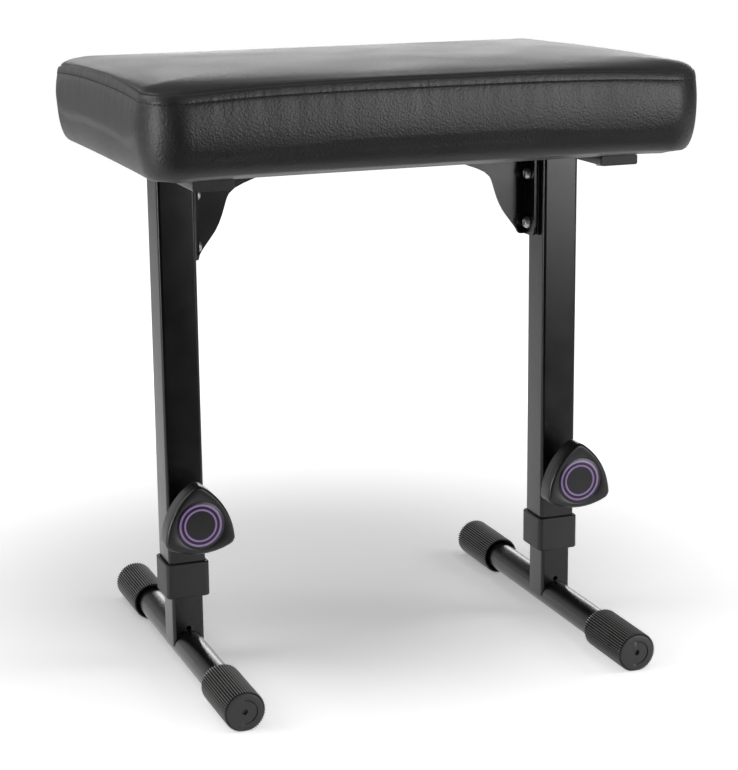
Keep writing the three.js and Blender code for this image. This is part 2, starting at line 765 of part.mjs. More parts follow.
// One leg on each side; inboard is the direction from the leg to the middle
for (const [side, sign] of [['left', -1], ['right', 1]]) {
  const leg = new THREE.Group();
  leg.position.x = (sign * legSpacing) / 2;
  bench.add(leg);
  const inboard = -sign;

  place(`${side}_rail`, rail(), 'paint', leg, 0, 0, railBottom);
  for (const [end, way] of [['front', -1], ['back', 1]]) {
    const plug = place(`${side}_rail_plug_${end}`, railPlug(), 'plastic', leg, 0, 0, railBottom);
    plug.position.y = way * (railLength / 2 - railPlugHead);
    if (way > 0) plug.rotation.z = Math.PI;
    const screwLength = railHeight + coverThickness + boardThickness;
    const railScrew = capScrew(boltRadius, boltHeadRadius, boltHeadHeight, screwLength);
    const screwY = (way * railScrewSpacing) / 2;
    place(`${side}_rail_screw_${end}`, railScrew, 'zinc', leg, 0, screwY, railBottom - gap);
    place(`${side}_tee_nut_${end}`, teeNut(), 'zinc', leg, 0, screwY, boardBottom + teeNutFloor);
  }

  const bracketX = inboard * flangeInner;
  place(`${side}_bracket`, bracket(inboard), 'paint', leg, bracketX, 0, railTop);
  const backingX = inboard * (legInnerFace + gap + backingThickness / 2);
  place(`${side}_backing_plate`, backingPlate(), 'paint', leg, backingX, 0, railTop);
  ['upper', 'lower'].forEach((level, index) => {
    const z = railTop - legBoltDrops[index];
    const bolt = capScrew(boltRadius, boltHeadRadius, boltHeadHeight, legBoltLength).rotateY(Math.PI / 2);
    if (inboard > 0) bolt.rotateZ(Math.PI);
    place(`${side}_leg_bolt_${level}`, bolt, 'zinc', leg, inboard * legBoltSeat, screwLine, z);
    const nut = hexNut(nutRadius, nutHeight, boltRadius + gap).rotateY(Math.PI / 2);
    const nutX = inboard * (nutFace - nutHeight / 2);
    place(`${side}_leg_nut_${level}`, nut, 'zinc', leg, nutX, screwLine, z);
  });
  ['outer', 'inner'].forEach((level, index) => {
    const x = inboard * (flangeInner + seatScrewReaches[index]);
    const z = railTop - bracketThickness - gap;
    const length = seatScrewTip - z;
    const screw = capScrew(seatScrewRadius, seatScrewHeadRadius, seatScrewHeadHeight, length);
    place(`${side}_seat_screw_${level}`, screw, 'zinc', leg, x, screwLine, z);
  });

  place(`${side}_upper_tube`, upperTube(inboard), 'paint', leg, 0, 0, upperTubeBottom);
  place(`${side}_collar`, collar(), 'plastic', leg, 0, 0, collarFloorClearance);
  place(`${side}_clamp_boss`, boss(), 'paint', leg, 0, 0, clampHeight);
  place(`${side}_clamp_pad`, pad(), 'nylon', leg, 0, 0, clampHeight);
  place(`${side}_clamp_stud`, stud(), 'zinc', leg, 0, 0, clampHeight);
  place(`${side}_knob`, knob(), 'plastic', leg, 0, 0, clampHeight);
  place(`${side}_knob_badge`, badge(), 'badge', leg, 0, 0, clampHeight);

  place(`${side}_lower_tube`, lowerTube(), 'paint', leg, 0, 0, axisHeight);
  place(`${side}_glide`, glide(), 'plastic', leg, 0, 0, lowerTubeTop + gap);
  place(`${side}_foot_bar`, footBar(), 'paint', leg, 0, 0, axisHeight);
  for (const [end, way] of [['front', -1], ['back', 1]]) {
    const cap = place(`${side}_foot_cap_${end}`, footCap(), 'rubber', leg, 0, 0, axisHeight);
    cap.position.y = (way * footLength) / 2;
    if (way > 0) cap.rotation.z = Math.PI;
  }
}

export default bench;
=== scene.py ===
# %% [markdown]
# This lesson dresses a keyboard bench: a padded vinyl seat on two T-shaped steel legs. The packed
# model already holds every part at its real size. Blender adds what the eye reads: soft vinyl with
# a sewn edge, powder-coated steel, moulded knobs and ribbed rubber feet.

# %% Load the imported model
import json
import math

import bpy
import numpy as np
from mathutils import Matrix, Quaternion, Vector
from mathutils.bvhtree import BVHTree


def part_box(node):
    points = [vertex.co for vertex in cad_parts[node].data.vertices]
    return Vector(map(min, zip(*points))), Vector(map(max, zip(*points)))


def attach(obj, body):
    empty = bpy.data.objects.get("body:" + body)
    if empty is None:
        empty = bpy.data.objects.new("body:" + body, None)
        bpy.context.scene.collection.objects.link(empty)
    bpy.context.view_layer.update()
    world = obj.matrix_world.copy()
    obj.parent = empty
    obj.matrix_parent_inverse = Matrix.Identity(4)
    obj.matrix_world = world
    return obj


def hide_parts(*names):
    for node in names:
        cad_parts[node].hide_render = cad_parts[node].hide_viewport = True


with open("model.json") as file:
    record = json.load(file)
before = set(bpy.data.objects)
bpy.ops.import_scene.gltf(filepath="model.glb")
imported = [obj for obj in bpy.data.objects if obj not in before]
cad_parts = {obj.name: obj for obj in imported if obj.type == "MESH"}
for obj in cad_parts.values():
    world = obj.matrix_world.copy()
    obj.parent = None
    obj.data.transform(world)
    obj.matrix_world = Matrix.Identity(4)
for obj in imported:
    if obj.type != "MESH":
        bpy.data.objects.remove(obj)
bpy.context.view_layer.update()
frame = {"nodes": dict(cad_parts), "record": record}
scene = bpy.context.scene
scene.view_settings.view_transform = "Standard"
MM = 0.001
SIDES = ("left", "right")
print("loaded", len(frame["nodes"]), "nodes")

# %% [markdown]
# The camera stands where the photograph was taken from: to the left of the bench, a little above
# the seat, with a long lens. Its turn is built from three angles, because a track direction alone
# cannot carry the slight roll of a hand-levelled camera.

# %% Camera
SENSOR = 36.0
IMAGE_LONG_SIDE = 770
FOCAL_PIXELS = 2114.72
CAMERA_PLACE = Vector((-0.61518, -1.63927, 0.64895))
CAMERA_YAW = math.radians(20.5356)
CAMERA_PITCH = math.radians(13.6885)
CAMERA_ROLL = math.radians(-0.5772)

forward = Vector((
    math.sin(CAMERA_YAW) * math.cos(CAMERA_PITCH),
    math.cos(CAMERA_YAW) * math.cos(CAMERA_PITCH),
    -math.sin(CAMERA_PITCH),
))
camera = bpy.data.objects.new("camera", bpy.data.cameras.new("camera"))
scene.collection.objects.link(camera)
camera.data.sensor_width = SENSOR
camera.data.lens = FOCAL_PIXELS * SENSOR / IMAGE_LONG_SIDE
camera.location = CAMERA_PLACE
camera.rotation_mode = "QUATERNION"
camera.rotation_quaternion = forward.to_track_quat("-Z", "Y") @ Quaternion((0, 0, 1), CAMERA_ROLL)
scene.camera = camera
print("lens", round(camera.data.lens, 2), "mm")

# %% [markdown]
# Materials are node trees. A few lines of helper code keep each tree readable: one adds a node and
# fills its sockets, another starts a material with its Principled shader ready to use.


# %% Node helpers
def add_node(tree, kind, sockets=None, **settings):
    node = tree.nodes.new(kind)
    for name, value in settings.items():
        setattr(node, name, value)
    for name, value in (sockets or {}).items():
        if isinstance(value, bpy.types.NodeSocket):
            tree.links.new(value, node.inputs[name])
        else:
            node.inputs[name].default_value = value
    return node


def combine(tree, operation, first, second):
    node = add_node(tree, "ShaderNodeMath", operation=operation)
    for socket, value in zip(node.inputs, (first, second)):
        if isinstance(value, bpy.types.NodeSocket):
            tree.links.new(value, socket)
        else:
            socket.default_value = value
    return node.outputs[0]


def any_of(tree, rays, labels):
    total = rays.outputs[labels[0]]
    for label in labels[1:]:
        total = combine(tree, "MAXIMUM", total, rays.outputs[label])
    return total


# A Mix node carries sockets for every kind of data, so its colour ones are told by their numbers.
MIX_MASK, MIX_FIRST, MIX_SECOND, MIX_RESULT = 0, 6, 7, 2


def mix_colours(tree, mask, first, second):
    sockets = {MIX_MASK: mask, MIX_FIRST: first, MIX_SECOND: second}
    return add_node(tree, "ShaderNodeMix", sockets, data_type="RGBA").outputs[MIX_RESULT]


def map_range(tree, value, sources, targets=(0.0, 1.0), **settings):
    """Carry the span of sources over to the span of targets, and hold what lies beyond it."""
    return add_node(tree, "ShaderNodeMapRange", {
        "Value": value, "From Min": sources[0], "From Max": sources[1],
        "To Min": targets[0], "To Max": targets[1],
    }, **settings).outputs["Result"]


def grey(level):
    return (level, level, level, 1.0)


def start_material(name, **sockets):
    material = bpy.data.materials.new(name)
    material.use_nodes = True
    tree = material.node_tree
    shader = tree.nodes["Principled BSDF"]
    for socket, value in sockets.items():
        shader.inputs[socket.replace("_", " ").title().replace("Ior", "IOR")].default_value = value
    return material, tree, shader


# %% [markdown]
# Three effects come back on many surfaces, so each is a node group with named sockets. Grain makes
# the height of a pebbled or moulded skin. Edge wear finds the sharp edges with a Bevel node, which
# is what a hand or a shoe polishes first. Dust settles on whatever faces up.


# %% Shared effect groups
def start_group(name, inputs, outputs):
    group = bpy.data.node_groups.new(name, "ShaderNodeTree")
    for label, value in inputs.items():
        socket = group.interface.new_socket(label, in_out="INPUT", socket_type="NodeSocketFloat")
        socket.default_value = value
    for label in outputs:
        group.interface.new_socket(label, in_out="OUTPUT", socket_type="NodeSocketFloat")
    return group, group.nodes.new("NodeGroupInput"), group.nodes.new("NodeGroupOutput")


def grain_group():
    group, entry, leave = start_group(
        "surface grain", {"Cells per Metre": 900.0, "Mottle per Metre": 25.0}, ("Height", "Mottle")
    )
    place = add_node(group, "ShaderNodeTexCoord").outputs["Object"]
    cells = add_node(group, "ShaderNodeTexVoronoi", {
        "Vector": place, "Scale": entry.outputs["Cells per Metre"],
    }, feature="SMOOTH_F1")
    fine = add_node(group, "ShaderNodeTexNoise", {
        "Vector": place, "Scale": entry.outputs["Cells per Metre"], "Detail": 3.0,
    })
    broad = add_node(group, "ShaderNodeTexNoise", {
        "Vector": place, "Scale": entry.outputs["Mottle per Metre"], "Detail": 4.0,
    })
    height = combine(group, "ADD", cells.outputs["Distance"], fine.outputs["Fac"])
    group.links.new(height, leave.inputs["Height"])
    group.links.new(broad.outputs["Fac"], leave.inputs["Mottle"])
    return group


def edge_wear_group():
    group, entry, leave = start_group("edge wear", {"Radius": 1 * MM, "Amount": 0.5}, ("Mask",))
    bevel = add_node(group, "ShaderNodeBevel", {"Radius": entry.outputs["Radius"]}, samples=4)
    plain = add_node(group, "ShaderNodeNewGeometry")
    match = add_node(group, "ShaderNodeVectorMath", {
        0: bevel.outputs["Normal"], 1: plain.outputs["Normal"],
    }, operation="DOT_PRODUCT")
    edge = map_range(group, match.outputs["Value"], (0.995, 0.86))
    place = add_node(group, "ShaderNodeTexCoord").outputs["Object"]
    breaks = add_node(group, "ShaderNodeTexNoise", {"Vector": place, "Scale": 160.0, "Detail": 5.0})
    worn = combine(group, "MULTIPLY", edge, map_range(group, breaks.outputs["Fac"], (0.42, 0.62)))
    group.links.new(combine(group, "MULTIPLY", worn, entry.outputs["Amount"]), leave.inputs["Mask"])
    return group


def dust_group():
    group, entry, leave = start_group("settled dust", {"Amount": 0.3, "Patches per Metre": 60.0}, ("Mask",))
    normal = add_node(group, "ShaderNodeNewGeometry").outputs["Normal"]
    parts = add_node(group, "ShaderNodeSeparateXYZ", {"Vector": normal})
    facing = map_range(group, parts.outputs["Z"], (0.2, 1.0))
    place = add_node(group, "ShaderNodeTexCoord").outputs["Object"]
    patches = add_node(group, "ShaderNodeTexNoise", {
        "Vector": place, "Scale": entry.outputs["Patches per Metre"], "Detail": 6.0,
    })
    both = combine(group, "MULTIPLY", facing, map_range(group, patches.outputs["Fac"], (0.35, 0.75)))
    group.links.new(combine(group, "MULTIPLY", both, entry.outputs["Amount"]), leave.inputs["Mask"])
    return group


GRAIN = grain_group()
EDGE_WEAR = edge_wear_group()
DUST = dust_group()


def use_group(tree, group, **values):
    node = tree.nodes.new("ShaderNodeGroup")
    node.node_tree = group
    for name, value in values.items():
        node.inputs[name.replace("_", " ").title().replace("Per", "per")].default_value = value
    return node


def bump(tree, shader, height, relief):
    raised = add_node(tree, "ShaderNodeBump", {"Height": height, "Distance": relief, "Strength": 1.0})
    tree.links.new(raised.outputs["Normal"], shader.inputs["Normal"])


def grained_surface(tree, shader, colour, grain, rough, relief):
    """Base colour, a roughness that wanders with the grain's mottle, and the grain as a bump."""
    tree.links.new(colour, shader.inputs["Base Color"])
    roughness = map_range(tree, grain.outputs["Mottle"], (0.0, 1.0), rough)
    tree.links.new(roughness, shader.inputs["Roughness"])
    bump(tree, shader, grain.outputs["Height"], relief)


print("groups", [group.name for group in (GRAIN, EDGE_WEAR, DUST)])

# %% [markdown]
# The steel is powder coated in satin black. Under a lamp such a coat shows a very fine orange peel,
# and its edges are a shade lighter where the coat is thin. The same recipe, with other numbers,
# makes the moulded plastic of the collars and plugs, so it is one function with the numbers as its
# arguments.


# %% Hard black finishes
def hard_finish(name, body, edge, rough, cells, relief):
    material, tree, shader = start_material(name)
    grain = use_group(tree, GRAIN, cells_per_metre=cells, mottle_per_metre=40.0)
    edges = use_group(tree, EDGE_WEAR, radius=0.8 * MM, amount=0.5)
    tinted = mix_colours(tree, edges.outputs["Mask"], grey(body), grey(edge))
    grained_surface(tree, shader, tinted, grain, rough, relief)
    return material


materials = {
    "black_paint": hard_finish(
        "satin black powder coat", body=0.008, edge=0.05, rough=(0.18, 0.30), cells=700.0,
        relief=0.012 * MM,
    ),
    "black_plastic": hard_finish(
        "moulded black plastic", body=0.018, edge=0.06, rough=(0.42, 0.55), cells=2400.0,
        relief=0.03 * MM,
    ),
}
print("hard finishes", sorted(materials))

# %% [markdown]
# Zinc plate, natural nylon, raw plywood and the thin cloth under the seat hardly show, but each has
# its own small story: a clouded shine on plated metal, a milky unevenness in nylon, year rings in
# wood, and a felted web in the cloth. The foam never shows, because the sewn cushion takes its
# place together with the cover's.


# %% Metal, nylon, wood and cloth
def zinc_finish():
    material, tree, shader = start_material("zinc plate", metallic=1.0)
    grain = use_group(tree, GRAIN, cells_per_metre=1500.0, mottle_per_metre=220.0)
    edges = use_group(tree, EDGE_WEAR, radius=0.4 * MM, amount=0.6)
    blend = mix_colours(tree, grain.outputs["Mottle"], (0.42, 0.42, 0.44, 1.0), (0.62, 0.62, 0.60, 1.0))
    shine = mix_colours(tree, edges.outputs["Mask"], blend, (0.80, 0.80, 0.80, 1.0))
    grained_surface(tree, shader, shine, grain, rough=(0.28, 0.5), relief=0.02 * MM)
    return material


def nylon_finish():
    material, tree, shader = start_material("natural nylon")
    grain = use_group(tree, GRAIN, cells_per_metre=900.0, mottle_per_metre=90.0)
    tone = mix_colours(tree, grain.outputs["Mottle"], (0.66, 0.64, 0.57, 1.0), (0.80, 0.79, 0.74, 1.0))
    grained_surface(tree, shader, tone, grain, rough=(0.45, 0.6), relief=0.02 * MM)
    return material


def plywood_finish():
    material, tree, shader = start_material("raw plywood", roughness=0.8)
    place = add_node(tree, "ShaderNodeTexCoord").outputs["Object"]
    stretch = add_node(tree, "ShaderNodeMapping", {"Vector": place, "Scale": (6.0, 60.0, 400.0)})
    rings = add_node(tree, "ShaderNodeTexNoise", {
        "Vector": stretch.outputs["Vector"], "Scale": 3.0, "Detail": 8.0, "Distortion": 0.6,
    })
    tone = mix_colours(tree, rings.outputs["Fac"], (0.42, 0.28, 0.15, 1.0), (0.70, 0.54, 0.36, 1.0))
    tree.links.new(tone, shader.inputs["Base Color"])
    bump(tree, shader, rings.outputs["Fac"], relief=0.2 * MM)
    return material


def cloth_finish():
    material, tree, shader = start_material("felted dust cloth", sheen_weight=0.25)
    grain = use_group(tree, GRAIN, cells_per_metre=700.0, mottle_per_metre=300.0)
    tone = mix_colours(tree, grain.outputs["Height"], grey(0.006), grey(0.03))
    grained_surface(tree, shader, tone, grain, rough=(0.85, 1.0), relief=0.2 * MM)
    return material


materials["zinc_plate"] = zinc_finish()
materials["nylon"] = nylon_finish()
materials["plywood"] = plywood_finish()
materials["dust_cloth"] = cloth_finish()
print("finishes", sorted(materials))

# %% [markdown]
# The seat is covered in black vinyl with a fine pebbled grain. Vinyl is a coated cloth: its skin has
# a broad, soft shine, and the shine breaks up where the skin is stretched or puckered. The grain is
# a bump, because it is far finer than any mesh, and the puckers at the seam are real geometry.


# %% Vinyl and thread
def vinyl_finish():
    material, tree, shader = start_material("black grained vinyl", specular_ior_level=0.55)
    grain = use_group(tree, GRAIN, cells_per_metre=620.0, mottle_per_metre=14.0)
    dust = use_group(tree, DUST, amount=0.05, patches_per_metre=18.0)
    tone = mix_colours(tree, grain.outputs["Mottle"], grey(0.040), grey(0.056))
    dusted = mix_colours(tree, dust.outputs["Mask"], tone, (0.20, 0.19, 0.18, 1.0))
    grained_surface(tree, shader, dusted, grain, rough=(0.34, 0.50), relief=0.16 * MM)
    return material


def thread_finish():
    material, tree, shader = start_material("black thread", roughness=0.7)
    place = add_node(tree, "ShaderNodeTexCoord").outputs["Object"]
    twist = add_node(tree, "ShaderNodeTexWave", {
        "Vector": place, "Scale": 900.0, "Distortion": 1.0,
    }, bands_direction="DIAGONAL")
    tone = mix_colours(tree, twist.outputs["Fac"], grey(0.006), grey(0.03))
    tree.links.new(tone, shader.inputs["Base Color"])
    bump(tree, shader, twist.outputs["Fac"], relief=0.05 * MM)
    return material


materials["seat_vinyl"] = vinyl_finish()
thread_material = thread_finish()
print("cover and thread", materials["seat_vinyl"].name, thread_material.name)

# %% [markdown]
# Every carried-over part takes the finish of its slot. A slot without one belongs to parts that a
# later cell replaces by finer pieces, so plain plastic does for them. The mesh stays as it is; a
# stack of modifiers welds the split corners, rounds the sharp edges by a fraction of a millimetre,
# and shades the rest smooth by angle, which is what makes machined edges catch the light.


# %% Soften and paint the CAD parts
def smooth_by_angle_group(limit):
    group = bpy.data.node_groups.new("smooth by angle", "GeometryNodeTree")
    group.interface.new_socket("Geometry", in_out="INPUT", socket_type="NodeSocketGeometry")
    group.interface.new_socket("Geometry", in_out="OUTPUT", socket_type="NodeSocketGeometry")
    entry = group.nodes.new("NodeGroupInput")
    leave = group.nodes.new("NodeGroupOutput")
    angle = group.nodes.new("GeometryNodeInputMeshEdgeAngle")
    smooth = add_node(group, "FunctionNodeCompare", {1: limit}, data_type="FLOAT", operation="LESS_THAN")
    faces = add_node(group, "GeometryNodeSetShadeSmooth", domain="FACE")
    edges = add_node(group, "GeometryNodeSetShadeSmooth", domain="EDGE")
    group.links.new(angle.outputs["Unsigned Angle"], smooth.inputs[0])
    group.links.new(entry.outputs["Geometry"], faces.inputs["Geometry"])
    group.links.new(faces.outputs["Geometry"], edges.inputs["Geometry"])
    group.links.new(smooth.outputs[0], edges.inputs["Shade Smooth"])
    group.links.new(edges.outputs["Geometry"], leave.inputs["Geometry"])
    return group


SMOOTH_LIMIT = math.radians(38)
BEVEL_WIDTH = 0.35 * MM
smooth_group = smooth_by_angle_group(SMOOTH_LIMIT)


def soften(item):
    weld = item.modifiers.new("weld", "WELD")
    weld.merge_threshold = 0.001 * MM
    rounding = item.modifiers.new("rounding", "BEVEL")
    rounding.width = BEVEL_WIDTH
    rounding.segments = 2
    rounding.limit_method = "ANGLE"
    rounding.angle_limit = SMOOTH_LIMIT
    shading = item.modifiers.new("shading", "NODES")
    shading.node_group = smooth_group
    weighted = item.modifiers.new("weighted", "WEIGHTED_NORMAL")
    weighted.keep_sharp = True


for part in frame["record"]["subparts"]:
    item = frame["nodes"][part["node"]]
    item.data.materials.clear()
    item.data.materials.append(materials.get(part["material_slot"], materials["black_plastic"]))
    soften(item)

# %% [markdown]
# New pieces are meshes built from rings of points. Each ring runs round the piece, and consecutive
# rings are joined by quads, so one helper serves the cushion, the knobs and the rubber caps.


# %% Mesh helpers
def ring_faces(ring_count, point_count, first=0):
    index = first + np.arange(ring_count * point_count).reshape(ring_count, point_count)
    here, there = index[:-1], index[1:]
    quads = np.stack([here, np.roll(here, -1, 1), np.roll(there, -1, 1), there], axis=-1)
    return quads.reshape(-1, 4)


def fan_faces(ring, centre, flip):
    pairs = zip(ring, np.roll(ring, -1))
    return [(centre, there, here) if flip else (centre, here, there) for here, there in pairs]


def closed_piece(name, rings, start, end, origin=(0, 0, 0)):
    """A closed body through rings of equal counts, closed by one point at each end."""
    rings = np.asarray(rings, float)
    ring_count, point_count = rings.shape[:2]
    points = np.vstack([rings.reshape(-1, 3), [start], [end]]) - np.asarray(origin)
    faces = [tuple(face) for face in ring_faces(ring_count, point_count).tolist()]
    last = ring_count * point_count
    faces += fan_faces(np.arange(point_count), last, flip=True)
    faces += fan_faces(np.arange(last - point_count, last), last + 1, flip=False)
    mesh = bpy.data.meshes.new(name)
    mesh.from_pydata(points.tolist(), [], faces)
    mesh.validate()
    mesh.polygons.foreach_set("use_smooth", [True] * len(mesh.polygons))
    piece = bpy.data.objects.new(name, mesh)
    piece.location = origin
    scene.collection.objects.link(piece)
    return piece


def shade_by_angle(piece):
    shading = piece.modifiers.new("shading", "NODES")
    shading.node_group = smooth_group


# %% [markdown]
# The cushion is a stack of rings: a rounded outline, a fold under the edge, sides that swell towards
# the middle of their height, a sewn edge all round, and a crowned top. Every ring has the same
# number of points, and each point keeps its own place round the seat, so that no ring is twisted
# against the next.

# %% Outline of the seat
SEAT_LENGTH = 464 * MM
SEAT_DEPTH = 326 * MM
SEAT_CORNER = 34 * MM
CORNER_LEAST = 4 * MM
CORNER_POINTS = 24
LONG_POINTS = 230
SHORT_POINTS = 150


def seat_outline(inset):
    """The seat's outline moved in by an inset, with points that keep their place on every ring."""
    half = np.array([SEAT_LENGTH / 2 - inset, SEAT_DEPTH / 2 - inset])
    radius = max(SEAT_CORNER - inset, CORNER_LEAST)
    signs = ((1, 1), (-1, 1), (-1, -1), (1, -1))
    points = []
    for corner, sign in enumerate(signs):
        centre = np.array(sign) * (half - radius)
        turns = (corner + np.arange(CORNER_POINTS + 1) / CORNER_POINTS) * math.pi / 2
        arc = centre + radius * np.column_stack([np.cos(turns), np.sin(turns)])
        following = signs[(corner + 1) % 4]
        target = np.array(following) * (half - radius) + radius * np.array(
            [math.cos(turns[-1]), math.sin(turns[-1])]
        )
        count = (LONG_POINTS, SHORT_POINTS)[corner % 2]
        shares = (np.arange(1, count) / count)[:, None]
        points += [arc, arc[-1] + (target - arc[-1]) * shares]
    return np.vstack(points)


print("points round the seat", len(seat_outline(0)))

# %% [markdown]
# A stuffed cover is level nowhere. The middle of each side draws in between the corners, the sewn
# edge sits lower at the corners and at the back, and the two ends hang a little lower at the fold.
# Powers of the place along each side give these soft deviations without any extra points.

# %% Rings at one height
SEAT_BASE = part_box("seat_cover")[0].z
SEAM_HEIGHT = 73.3 * MM
CORNER_DROP = 7.6 * MM
BACK_SAG = 2.4 * MM
END_FALL = 2.5 * MM
DRAW_IN = 2 * MM


def seat_ring(inset, height, drop=0.0, fall=0.0):
    """A ring at one height; drop lowers its corners and its back, and fall lowers its two ends."""
    outline = seat_outline(inset)
    right = outline[:, 0] / (SEAT_LENGTH / 2 - inset)
    back = outline[:, 1] / (SEAT_DEPTH / 2 - inset)
    x = outline[:, 0] - DRAW_IN * (1 - back * back) * np.abs(right) ** 4 * np.sign(right)
    y = outline[:, 1] - DRAW_IN * (1 - right * right) * np.abs(back) ** 4 * np.sign(back)
    lowered = (CORNER_DROP * np.abs(right * back) ** 3 + BACK_SAG * ((1 + back) / 2) ** 2) * drop
    z = SEAT_BASE + height - lowered - END_FALL * np.abs(right) ** 8 * fall
    return np.column_stack([x, y, z])


print("seam at", round((SEAT_BASE + SEAM_HEIGHT) / MM, 1), "mm above the floor")

# %% [markdown]
# The top rises quickly just inside the seam and then runs almost level, as foam does under a tight
# cover. The rise follows the distance from the seam. The sag at the back runs in over the whole
# top, and the drop at the corners fades within a few millimetres.

# %% Rings of the top
SEAM_INSET = 5 * MM
SEAT_CROWN = 5.0 * MM
CROWN_REACH = 18.5 * MM
CORNER_REACH = 6 * MM
SEAM_HALF = np.array([SEAT_LENGTH / 2 - SEAM_INSET, SEAT_DEPTH / 2 - SEAM_INSET])


def edge_distance(points):
    """How far in from the seam a point of the top lies."""
    radius = SEAT_CORNER - SEAM_INSET
    beyond = np.abs(points[:, :2]) - (SEAM_HALF - radius)
    outside = np.linalg.norm(np.maximum(beyond, 0), axis=1)
    inside = np.minimum(beyond.max(axis=1), 0)
    return np.maximum(radius - outside - inside, 0)


def crown_ring(distance, share):
    """A ring of the top: first a true offset from the seam, and then a scaled copy of it."""
    ring = seat_ring(SEAM_INSET + distance, SEAM_HEIGHT)
    ring[:, :2] *= share
    right, back = (ring[:, :2] / SEAM_HALF).T
    edge = edge_distance(ring)
    ring[:, 2] += SEAT_CROWN * (1 - np.exp(-edge / CROWN_REACH)) - BACK_SAG * ((1 + back) / 2) ** 2
    ring[:, 2] -= CORNER_DROP * np.abs(right * back) ** 3 * np.exp(-edge / CORNER_REACH)
    return ring


print("top rises", round((crown_ring(0, 0.1)[:, 2].max() - SEAT_BASE - SEAM_HEIGHT) / MM, 2), "mm")

# %% [markdown]
# Seen in section, the side goes out from the seam to its widest place and in again to the fold, in
# two quarter turns. The steps are close together near the seam, where the sewing needs fine rings,
# and wide elsewhere. Distances run along the surface from the seam, negative down the side and
# positive over the top, because sewing is laid out that way.

# %% Rings of the cushion
BULGE_HEIGHT = 0.56 * SEAM_HEIGHT
FOLD_HEIGHT = 5.7 * MM
FOLD_INSET = 13.8 * MM
LOWER_FULLNESS = 0.8
PROFILE_POINTS = 120
TUCK_INSET = 37.8 * MM
LIP_INSET = 49.8 * MM
TUCK_DISTANCE = 20 * MM
LIP_DISTANCE = 30 * MM
SIDE_STEPS = 18
SEAM_STEPS = np.array([
    0.0, 0.35, 0.8, 1.4, 2.2, 3.5, 5.0, 6.4, 7.4, 7.9,
    8.3, 8.7, 9.1, 9.7, 10.6, 12.0, 14.0, 16.5, 19.5, 23.0,
]) * MM
TOP_STEPS = np.array([0.35, 0.8, 1.4, 2.2, 3.2, 4.6, 6.4, 8.6, 11.0]) * MM
TOP_SHARES = (0.985, 0.965, 0.94, 0.91, 0.87, 0.82, 0.76, 0.69, 0.61, 0.52, 0.42, 0.31, 0.2, 0.1)
TUCK_SHARES = (1.0, 0.97, 0.8, 0.55, 0.3, 0.12)
LIP_SHARES = (1.0, 0.7, 0.35)


def side_profile():
    """Inset, height, drop and fall of the side from the seam down, and the distance from the seam."""
    upper = np.linspace(1, 0, PROFILE_POINTS) * math.pi / 2
    inset = SEAM_INSET * (1 - np.cos(upper))
    height = BULGE_HEIGHT + (SEAM_HEIGHT - BULGE_HEIGHT) * np.sin(upper)
    lower = upper[1:]
    inset = np.concatenate([inset, FOLD_INSET * (1 - np.sin(lower) ** LOWER_FULLNESS)])
    height = np.concatenate([height, FOLD_HEIGHT + (BULGE_HEIGHT - FOLD_HEIGHT) * (1 - np.cos(lower))])
    drop = np.concatenate([np.sin(upper), np.zeros(len(lower))])
    fall = np.concatenate([np.zeros(len(upper)), np.cos(lower)])
    steps = np.hypot(np.diff(inset), np.diff(height))
    return (inset, height, drop, fall), np.concatenate([[0], np.cumsum(steps)])


def cushion_rings():
    """Rings from the lip under the board, over the seam, to the middle of the top."""
    profile, along = side_profile()
    below_seam = np.concatenate([SEAM_STEPS, np.linspace(SEAM_STEPS[-1], along[-1], SIDE_STEPS)[1:]])
    rings, distances = [], []
    for share in LIP_SHARES:
        rings.append(seat_ring(TUCK_INSET + share * (LIP_INSET - TUCK_INSET), 0.0))
        distances.append(-along[-1] - LIP_DISTANCE)
    for share in TUCK_SHARES:
        tuck = FOLD_INSET + share * (TUCK_INSET - FOLD_INSET)
        rings.append(seat_ring(tuck, FOLD_HEIGHT * (1 - share), fall=1 - share))
        distances.append(-along[-1] - share * TUCK_DISTANCE)
    for distance in below_seam[::-1]:
        rings.append(seat_ring(*(np.interp(distance, along, values) for values in profile)))
        distances.append(-distance)
    for distance in TOP_STEPS:
        rings.append(crown_ring(distance, 1.0))
        distances.append(distance)
    for share in TOP_SHARES:
        rings.append(crown_ring(TOP_STEPS[-1], share))
        distances.append(TOP_STEPS[-1] + (1 - share) * SEAT_DEPTH / 2)
    return np.array(rings), np.array(distances)


rings, seam_distance = cushion_rings()
print("cushion rings", rings.shape)

# %% [markdown]
# Cloth simulation adds the small unevenness of stuffing to the drawn form. It starts from a copy
# that is slimmer by a few millimetres between the edges, so that air pressure has something to fill.

# %% A slimmer start
SLIM_SIDE = 3.0 * MM
SLIM_TOP = 3.0 * MM
TOP_RISE = 25 * MM
SIDE_LIMIT = 90 * MM
TINY = 1e-9


def side_reach(distances):
    """How far from the seam, along the surface, the last ring within the side's limit lies."""
    return -distances[distances > -SIDE_LIMIT].min()


def slimming(points, distances):
    """How the slim start differs from the full shape: nothing at the seam, most between the edges."""
    down = np.clip(-distances / side_reach(distances), 0, 1)
    middle_side = np.where(distances < 0, np.sin(down * math.pi), 0)
    middle_top = np.where(distances > 0, 1 - np.exp(-np.maximum(distances, 0) / TOP_RISE), 0)
    away = points.copy()
    away[..., 2] = 0
    away /= np.linalg.norm(away, axis=-1, keepdims=True) + TINY
    shift = -away * (SLIM_SIDE * middle_side)[:, None, None]
    shift[..., 2] -= SLIM_TOP * middle_top[:, None]
    return shift


print("side ends", round(side_reach(seam_distance) / MM, 1), "mm from the seam")

# %% [markdown]
# The slim copy is remeshed to even small faces, because cloth made of long thin ones folds badly. It
# is held along its seam and under its edge, as thread and staples hold the real cover, and air
# pressure swells whatever lies between.

